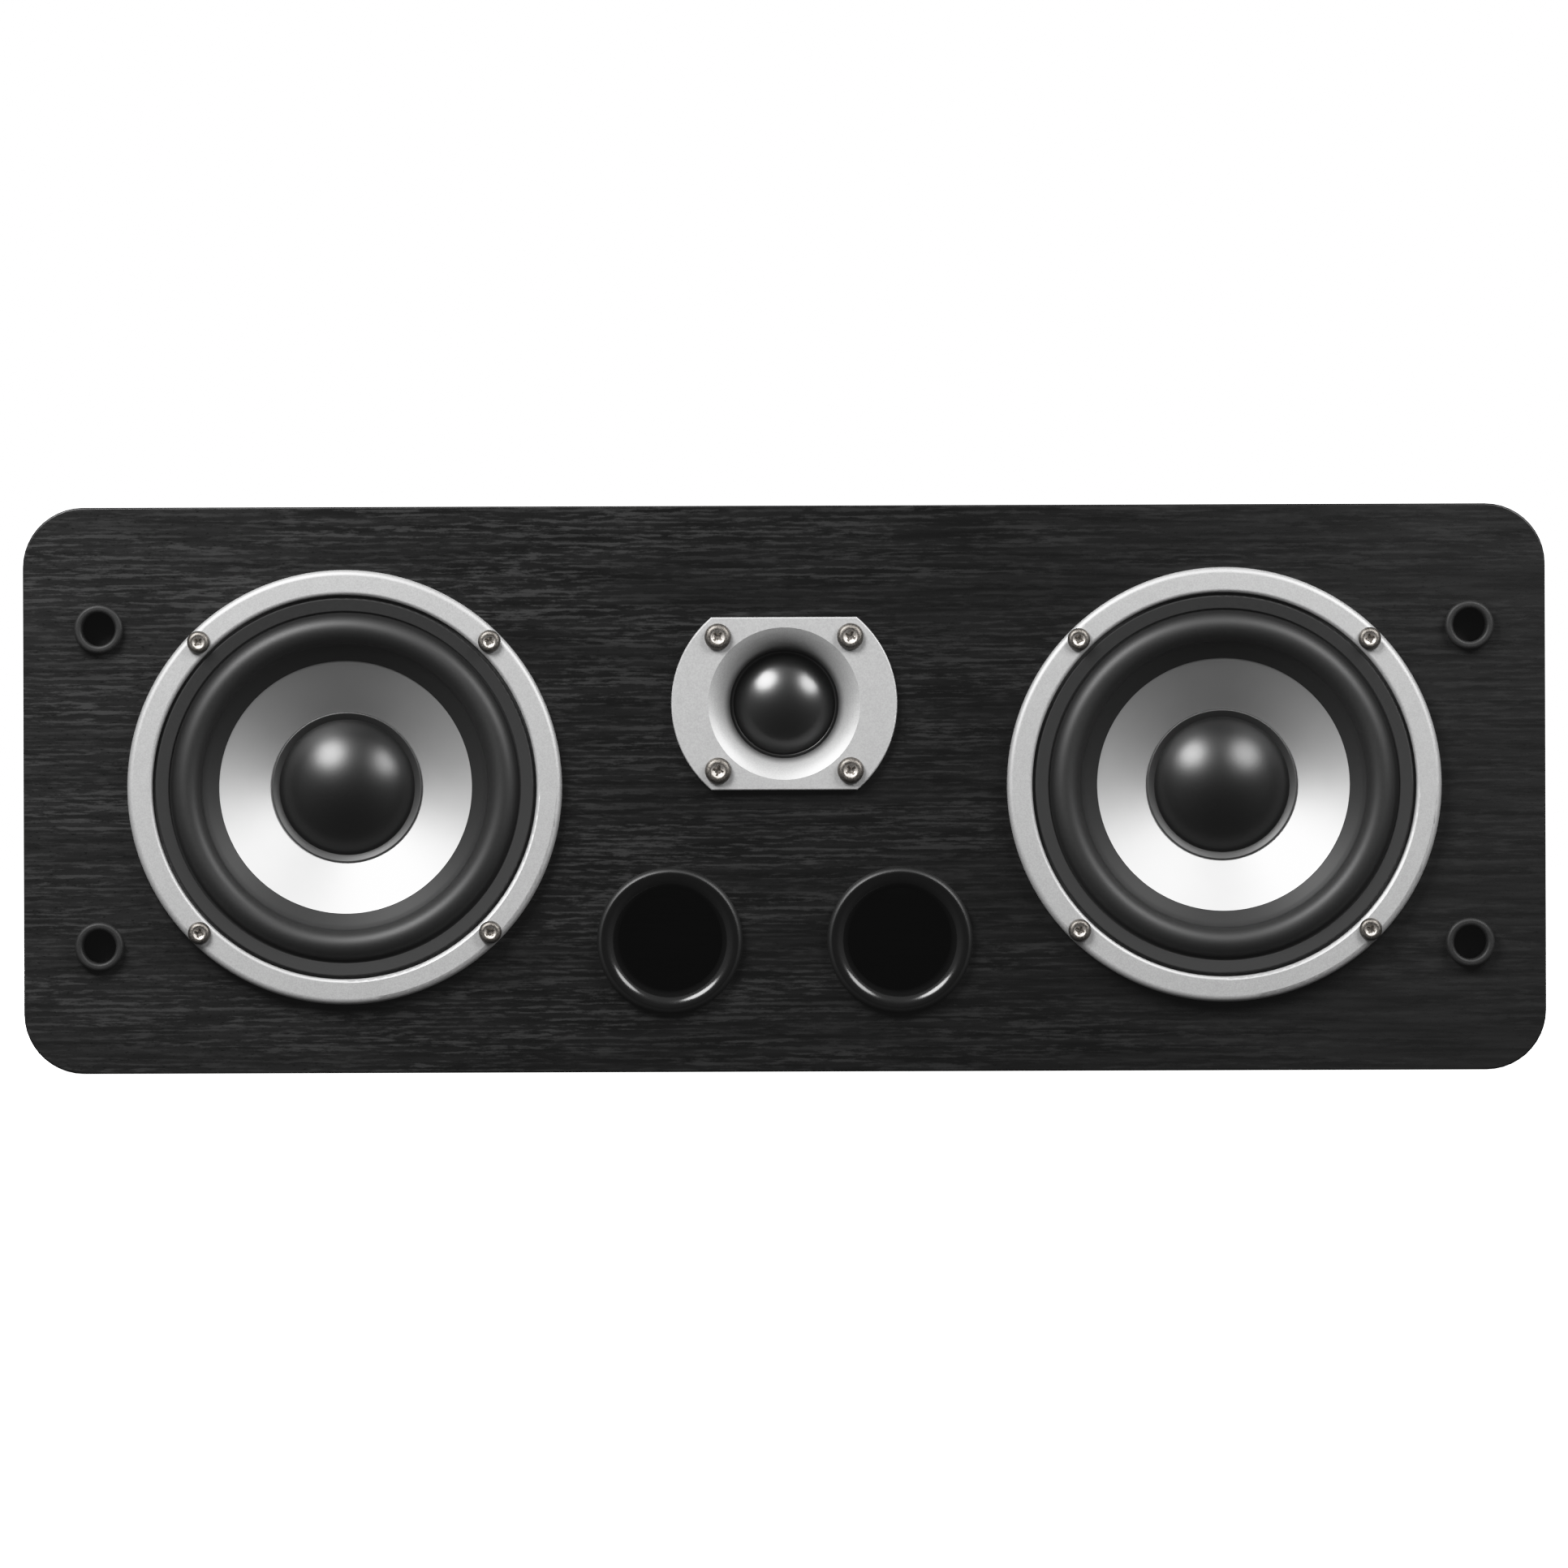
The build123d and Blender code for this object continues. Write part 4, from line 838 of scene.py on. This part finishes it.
wave_radii = np.linspace(SPIDER_INNER, SPIDER_FLAT, 97)
wave_phase = (wave_radii - SPIDER_INNER) / (SPIDER_FLAT - SPIDER_INNER) * 2 * math.pi * (WAVES + 0.5)
spider_line = [(r, SPIDER_HEIGHT + WAVE_HEIGHT * math.sin(p)) for r, p in zip(wave_radii, wave_phase)]
spider_line.append((SPIDER_OUTER - CLOTH / 2, SPIDER_HEIGHT))
spider_loop = sheet(eased(spider_line, 0.2, 4), CLOTH)
for side, axis in WOOFER.items():
    mesh = turn(f"{side}_spider", spider_loop, "spider_cloth", closed=True, steps=96)
    face_front(mesh, axis)
    piece = new_piece(mesh, "spider_cloth", f"{side}_woofer_spider")
    bend_by_radius(piece, axis, f"{side}_cone", inner=SPIDER_INNER + 0.5, outer=SPIDER_FLAT)
    print(piece.name, len(mesh.polygons), "faces")

# %% [markdown]
# ## Tweeter dome
#
# The dome is one piece of coated cloth: the dome itself, a tiny roll that lets it move, and a flange
# that is clamped. It moves by less than half a millimetre, and the roll takes that up. Heat and a mould
# give such a dome an oval section, flat at the top and steep at its rim, so the line is part of an ellipse.

# %% Tweeter dome
DOME_RADIUS, DOME_RISE, DOME_CLOTH = 14.2, 6.6, 0.4
DOME_FULL_RADIUS = 15.1
DOME_ROLL, DOME_FLANGE = 0.5, 19.5
DOME_BASE = -7.3

across = np.sin(np.linspace(0, math.asin(DOME_RADIUS / DOME_FULL_RADIUS), 64))
full_rise = DOME_RISE / (1 - math.sqrt(1 - (DOME_RADIUS / DOME_FULL_RADIUS) ** 2))
dome_top = DOME_BASE + DOME_RISE
dome_line = [(DOME_FULL_RADIUS * t, dome_top - full_rise * (1 - math.sqrt(1 - t * t))) for t in across]
dome_line += arc((DOME_RADIUS + DOME_ROLL, DOME_BASE), DOME_ROLL - DOME_CLOTH / 2, 180, 0, 12)
dome_line.append((DOME_FLANGE - DOME_CLOTH / 2, DOME_BASE))
loop = sheet(eased(dome_line, 0.1, 3), DOME_CLOTH, from_middle=True)
mesh = turn("silk_dome", loop, "silk_dome", steps=128)
face_front(mesh, TWEETER)
piece = new_piece(mesh, "silk_dome", "tweeter_dome")
bend_by_radius(piece, TWEETER, "tweeter_diaphragm", inner=DOME_RADIUS, outer=DOME_RADIUS + 2 * DOME_ROLL)
print(piece.name, len(mesh.polygons), "faces")

# %% [markdown]
# ## Tinsel leads
#
# Two soft leads carry the current from the terminal strip to each cone. A real one is copper tinsel
# spun round cotton; here three strands twist about one smooth line. The line is a NURBS spline
# whose control points are the end on the cone, the slack and the solder joint.
# The tree turns a profile of three small circles along that line.
# One end moves with the cone and the other stays; the lead is one still piece and isn't blended between them.

# %% Tinsel leads
STRAND, STRAND_OFFSET, TWISTS = 0.26, 0.22, 6.0
LEAD_SPREAD = 4.4
LEAD_POINTS = ((9.36, -28.19), (12.36, -36.2), (22.5, -39.2))

twisting, (route, turns, strand, offset, finish) = node_tree(
    "twisting", Route="Geometry", Turns="Float", Strand="Float", Offset="Float", Finish="Material"
)
line = route.node("GeometryNodeMeshToCurve", {}, {"Mesh": route})
share = line.node("GeometryNodeSplineParameter", {}, {}, output="Factor")
line = line.node("GeometryNodeSetCurveTilt", {}, {"Curve": line, "Tilt": share * turns * math.tau})
around = strand.node("GeometryNodeMeshCircle", {}, {"Vertices": 3, "Radius": offset})
single = strand.node("GeometryNodeCurvePrimitiveCircle", {}, {"Resolution": 10, "Radius": strand})
profile = around.node("GeometryNodeInstanceOnPoints", {}, {"Points": around, "Instance": single})
profile = profile.node("GeometryNodeRealizeInstances", {}, {"Geometry": profile})
lead = line.node("GeometryNodeCurveToMesh", {}, {"Curve": line, "Profile Curve": profile, "Fill Caps": True})
lead = lead.node("GeometryNodeSetShadeSmooth", {}, {"Geometry": lead, "Shade Smooth": True})
finish_tree(lead, finish)


def smooth_routes(name, routes):
    """A mesh of lines, one per route, each along the NURBS spline of its control points."""
    curve = bpy.data.curves.new(name, "CURVE")
    curve.dimensions = "3D"
    curve.resolution_u = 16
    for route in routes:
        spline = curve.splines.new("NURBS")
        spline.points.add(len(route) - 1)
        for point, spot in zip(spline.points, route):
            point.co = (*spot, 1.0)
        spline.order_u = 3
        spline.use_endpoint_u = True
    carrier = bpy.data.objects.new(name, curve)
    scene.collection.objects.link(carrier)
    lines = bpy.data.meshes.new_from_object(carrier.evaluated_get(bpy.context.evaluated_depsgraph_get()))
    bpy.data.objects.remove(carrier)
    return lines


for side, axis in WOOFER.items():
    routes = [[Vector((axis.x + off * MM, FRONT + y * MM, axis.z + z * MM)) for y, z in LEAD_POINTS]
              for off in (-LEAD_SPREAD, LEAD_SPREAD)]
    look = {"Turns": TWISTS, "Strand": STRAND * MM, "Offset": STRAND_OFFSET * MM}
    look["Finish"] = finishes["tinsel"]
    mesh = bake(f"{side}_tinsel", smooth_routes("routes", routes), twisting, **look)
    outward(mesh)
    piece = new_piece(mesh, "tinsel", f"{side}_woofer_tinsel_leads")
    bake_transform(piece)
    print(piece.name, len(mesh.polygons), "faces")

# %% [markdown]
# ## Wadding
#
# Two pads of polyester wadding stand against the rear panel. A pad is a soft box: its corners are drawn in
# by raising the distance from the middle to a high power, and noise sinks hollows into its front.
# Everything is pushed inwards, so a pad never outgrows the space that the box leaves for it.

# %% Wadding
PAD_INNER = 54.5
PAD_BOXINESS = 8.0
PAD_HOLLOW = 0.5
PAD_MESH = {"Vertices X": 72, "Vertices Y": 14, "Vertices Z": 60}

pad_low, pad_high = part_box("damping_pads")
pad_half = Vector((pad_high.x - PAD_INNER * MM, pad_high.y - pad_low.y, pad_high.z - pad_low.z)) / 2
pad_middle = pad_high - pad_half

felting, (spots, finish) = node_tree("felting", Spots="Geometry", Finish="Material")
blank = spots.node("GeometryNodeMeshCube", {}, {"Size": 2 * pad_half, **PAD_MESH})
pads = spots.node("GeometryNodeInstanceOnPoints", {}, {"Points": spots, "Instance": blank})
pads = pads.node("GeometryNodeRealizeInstances", {}, {"Geometry": pads})
here = pads.node("GeometryNodeInputPosition", {}, {})
x, y, z = here.axes()
u = (abs(x) - pad_middle.x) * (1 / pad_half.x)
v = (y - pad_middle.y) * (1 / pad_half.y)
w = (z - pad_middle.z) * (1 / pad_half.z)
powers = abs(u) ** PAD_BOXINESS + abs(v) ** PAD_BOXINESS + abs(w) ** PAD_BOXINESS
drawn_in = powers ** (-1 / PAD_BOXINESS)
lumps = here.stretched(42, 42, 42).noise(3.0, 0.55).rise(0.3, 0.7)
edge_lumps = here.stretched(80, 80, 80).noise(2.0, 0.5)
narrow = drawn_in * (1 - 0.06 * edge_lumps)
front_share = 0.5 - 0.5 * v
side_sign = x.sum("SIGN", x, 0.0)
felt = here.vector(
    side_sign * (u * narrow * pad_half.x + pad_middle.x),
    (v * drawn_in + front_share * lumps * PAD_HOLLOW) * pad_half.y + pad_middle.y,
    w * narrow * pad_half.z + pad_middle.z,
)
pads = pads.node("GeometryNodeSetPosition", {}, {"Geometry": pads, "Position": felt})
pads = pads.node("GeometryNodeSetShadeSmooth", {}, {"Geometry": pads, "Shade Smooth": True})
finish_tree(pads, finish)

pad_spots = bpy.data.meshes.new("pad_spots")
pad_spots.from_pydata([(sign * pad_middle.x, pad_middle.y, pad_middle.z) for sign in (-1, 1)], [], [])
mesh = bake("wadding_pads", pad_spots, felting, Finish=finishes["wadding"])
outward(mesh)
piece = new_piece(mesh, "wadding", "damping_pads")
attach(piece, "cabinet")
print(piece.name, len(mesh.polygons), "faces", [round(v / MM, 1) for v in piece.dimensions])

# %% [markdown]
# ## One cross-head screw
#
# The drivers are held by pan-head screws with a cross recess. The blank is turned: a dished crown, a steep side,
# a threaded shank. The recess is cut out of it: two tapered bars at right angles and a cone where they meet,
# which is the shape of the punch that strikes the real one. The middle of the head is painted lighter than its rim:
# painted light round the recess and painted shade on the steep side, and an attribute tells the finish where the
# middle is.

# %% One cross-head screw
SHANK, CORE, PITCH, SCREW_LENGTH = 1.75, 1.3, 1.2, 16.0
PUNCH_ABOVE, PUNCH_TOP, PUNCH_TIP = 0.6, 1.35, 0.35
BAR_WIDE, BAR_DEEPER, BAR_TAPER = 0.4, 0.5, 0.62
WOOFER_HEAD, TWEETER_HEAD, CUP_HEAD = 3.2, 3.75, 3.1
PAN_SHARP = math.radians(35)


def threaded(top):
    """The shank's outline below the head: rings of thread and a point."""
    points = [(SHANK, top)]
    height = top - 1.5
    while height > PITCH + SHANK - SCREW_LENGTH:
        points += [(CORE, height), (SHANK, height - PITCH / 2)]
        height -= PITCH
    return points + [(CORE, height), (0.0, -SCREW_LENGTH)]


def tapered_bar(half_long, half_wide, top, depth, taper):
    """A bar that narrows to its bottom, as corner points and faces."""
    corners = []
    for height, scale in ((top, 1.0), (top - depth, taper)):
        for sx, sy in ((-1, -1), (1, -1), (1, 1), (-1, 1)):
            corners.append((sx * half_long * scale * MM, sy * half_wide * scale * MM, height * MM))
    faces = [(0, 1, 2, 3), (7, 6, 5, 4), (0, 4, 5, 1), (1, 5, 6, 2), (2, 6, 7, 3), (3, 7, 4, 0)]
    return corners, faces


def cut_cross(mesh, head_top, reach, depth):
    """Cut a cross recess into a screw that stands on Z."""
    blank = bpy.data.objects.new("blank", mesh)
    scene.collection.objects.link(blank)
    above, below = head_top + PUNCH_ABOVE, head_top - depth
    cone = [(0, above), (PUNCH_TOP, above), (PUNCH_TIP, below), (0, below)]
    punches = [turn("punch", cone, "screw_nickel", steps=24)]
    for long, wide in ((reach, BAR_WIDE), (BAR_WIDE, reach)):
        bar = bpy.data.meshes.new("punch")
        corners, faces = tapered_bar(long, wide, above, depth + BAR_DEEPER, BAR_TAPER)
        bar.from_pydata(corners, [], faces)
        punches.append(bar)
    for punch in punches:
        outward(punch)
        cutter = bpy.data.objects.new("punch", punch)
        scene.collection.objects.link(cutter)
        cut = blank.modifiers.new("cut", "BOOLEAN")
        cut.operation = "DIFFERENCE"
        cut.object = cutter
    struck = bpy.data.meshes.new_from_object(blank.evaluated_get(bpy.context.evaluated_depsgraph_get()))
    for gone in [blank] + [m.object for m in blank.modifiers]:
        bpy.data.objects.remove(gone)
    struck.set_sharp_from_angle(angle=PAN_SHARP)
    # Mark the head's middle, which the finish paints lighter as painted light.
    bare = struck.attributes.new("bare", "FLOAT", "POINT")
    bare.data.foreach_set("value", [float(v.co.xy.length < reach * 1.2 * MM) for v in struck.vertices])
    return struck


def pan_head_screw(name, head):
    """A pan-head screw that stands on Z, its seat at zero."""
    dish = [(0, 1.5), (head * 0.5, 2.2), (head * 0.56, 2.27), (head * 0.63, 2.29)]
    shoulder = [(head * 0.76, 2.22), (head * 0.88, 1.92), (head * 0.96, 1.4)]
    outline = [*dish, *shoulder, (head, 0.8), (head, 0.1), (head - 0.1, 0.0), *threaded(0.0)]
    return cut_cross(turn(name, outline, "screw_nickel", steps=48), 2.0, head * 0.46, 1.5)


def flat_head_screw(name, head):
    """A countersunk screw that stands on Z, its face at zero."""
    face = [(0, 0.0), (head - 0.15, 0.0), (head, -0.2)]
    outline = [*face, (SHANK - 0.2, -0.2 - head + SHANK), *threaded(-2.2)[1:]]
    return cut_cross(turn(name, outline, "screw_black", steps=48), 0.0, head * 0.62, 1.4)


woofer_screw = pan_head_screw("woofer_screw", WOOFER_HEAD)
tweeter_screw = pan_head_screw("tweeter_screw", TWEETER_HEAD)
cup_screw = flat_head_screw("cup_screw", CUP_HEAD)
print("screws:", [(m.name, len(m.polygons)) for m in (woofer_screw, tweeter_screw, cup_screw)])

# %% [markdown]
# ## Screws in their holes
#
# Sixteen screws repeat three shapes, so one tree puts a screw on every point it is given.
# No two were driven home at the same angle: a seeded random turn about the axis does that.

# %% Screws in their holes
TURN_SEED = 4
CUP_SINK = 3.2

driving, (spots, screw, lay_over, seed, finish) = node_tree(
    "driving", Spots="Geometry", Screw="Object", Lay_Over="Float", Seed="Int", Finish="Material"
)
blank = screw.node("GeometryNodeObjectInfo", {}, {"Object": screw, "As Instance": True}, output="Geometry")
any_turn = {2: 0.0, 3: math.tau, "Seed": seed}
angle = seed.node("FunctionNodeRandomValue", {"data_type": "FLOAT"}, any_turn, output=1)
spin = angle.node("FunctionNodeEulerToRotation", {}, {"Euler": angle.vector(0.0, 0.0, angle)})
tip = lay_over.node("FunctionNodeEulerToRotation", {}, {"Euler": lay_over.vector(lay_over, 0.0, 0.0)})
driven = tip.node("FunctionNodeRotateRotation", {"rotation_space": "LOCAL"}, {0: tip, 1: spin})
placing = {"Points": spots, "Instance": blank, "Rotation": driven}
placed = spots.node("GeometryNodeInstanceOnPoints", {}, placing)
finish_tree(placed, finish)


def drive(name, mesh, places, lay_over, slot, *replaced):
    """Put a screw at each place, laid over from Z by an angle, and let the piece ride on the box."""
    single = bpy.data.objects.new(mesh.name, mesh)
    scene.collection.objects.link(single)
    points = bpy.data.meshes.new(name)
    points.from_pydata(places, [], [])
    whole = {"Screw": single, "Lay Over": lay_over, "Seed": TURN_SEED, "Finish": finishes[slot]}
    piece = new_piece(bake(name, points, driving, **whole), slot, *replaced)
    bpy.data.objects.remove(single)
    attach(piece, "cabinet")
    print(piece.name, len(places), "screws,", len(piece.data.polygons), "faces")


def corners_within(node, inset):
    """Half the distances between the corner screws of a node, from its box."""
    low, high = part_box(node)
    return (high.x - low.x) / 2 - inset * MM, (high.z - low.z) / 2 - inset * MM


SCREW_SEAT = {"woofer": 4.5, "tweeter": 2.5}
reach = corners_within("woofer_screws", WOOFER_HEAD)[1]
woofer_spots = [(axis.x + sx * reach, FRONT - SCREW_SEAT["woofer"] * MM, axis.z + sz * reach)
                for axis in WOOFER.values() for sx in (-1, 1) for sz in (-1, 1)]
drive("woofer_screw_set", woofer_screw, woofer_spots, math.pi / 2, "screw_nickel", "woofer_screws")
reach_x, reach_z = corners_within("tweeter_screws", TWEETER_HEAD)
tweeter_spots = [(TWEETER.x + sx * reach_x, FRONT - SCREW_SEAT["tweeter"] * MM, TWEETER.z + sz * reach_z)
                 for sx in (-1, 1) for sz in (-1, 1)]
drive("tweeter_screw_set", tweeter_screw, tweeter_spots, math.pi / 2, "screw_nickel", "tweeter_screws")
cup = middle("cup_screws")
cup_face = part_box("cup_screws")[1].y
reach_x, reach_z = corners_within("cup_screws", CUP_SINK)
cup_spots = [(cup.x + sx * reach_x, cup_face, cup.z + sz * reach_z)
             for sx in (-1, 1) for sz in (-1, 1)]
drive("cup_screw_set", cup_screw, cup_spots, -math.pi / 2, "screw_black", "cup_screws")

# %% [markdown]
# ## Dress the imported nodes
#
# The record says which material slot each node has, and every node takes the finish of its slot.

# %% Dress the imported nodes
slot_of = {part["node"]: part["material_slot"] for part in frame["record"]["subparts"]}
for name, slot in slot_of.items():
    mesh = nodes[name].data
    mesh.materials.clear()
    mesh.materials.append(finishes[slot])
print("dressed", len(slot_of), "nodes in", len(set(slot_of.values())), "slots")
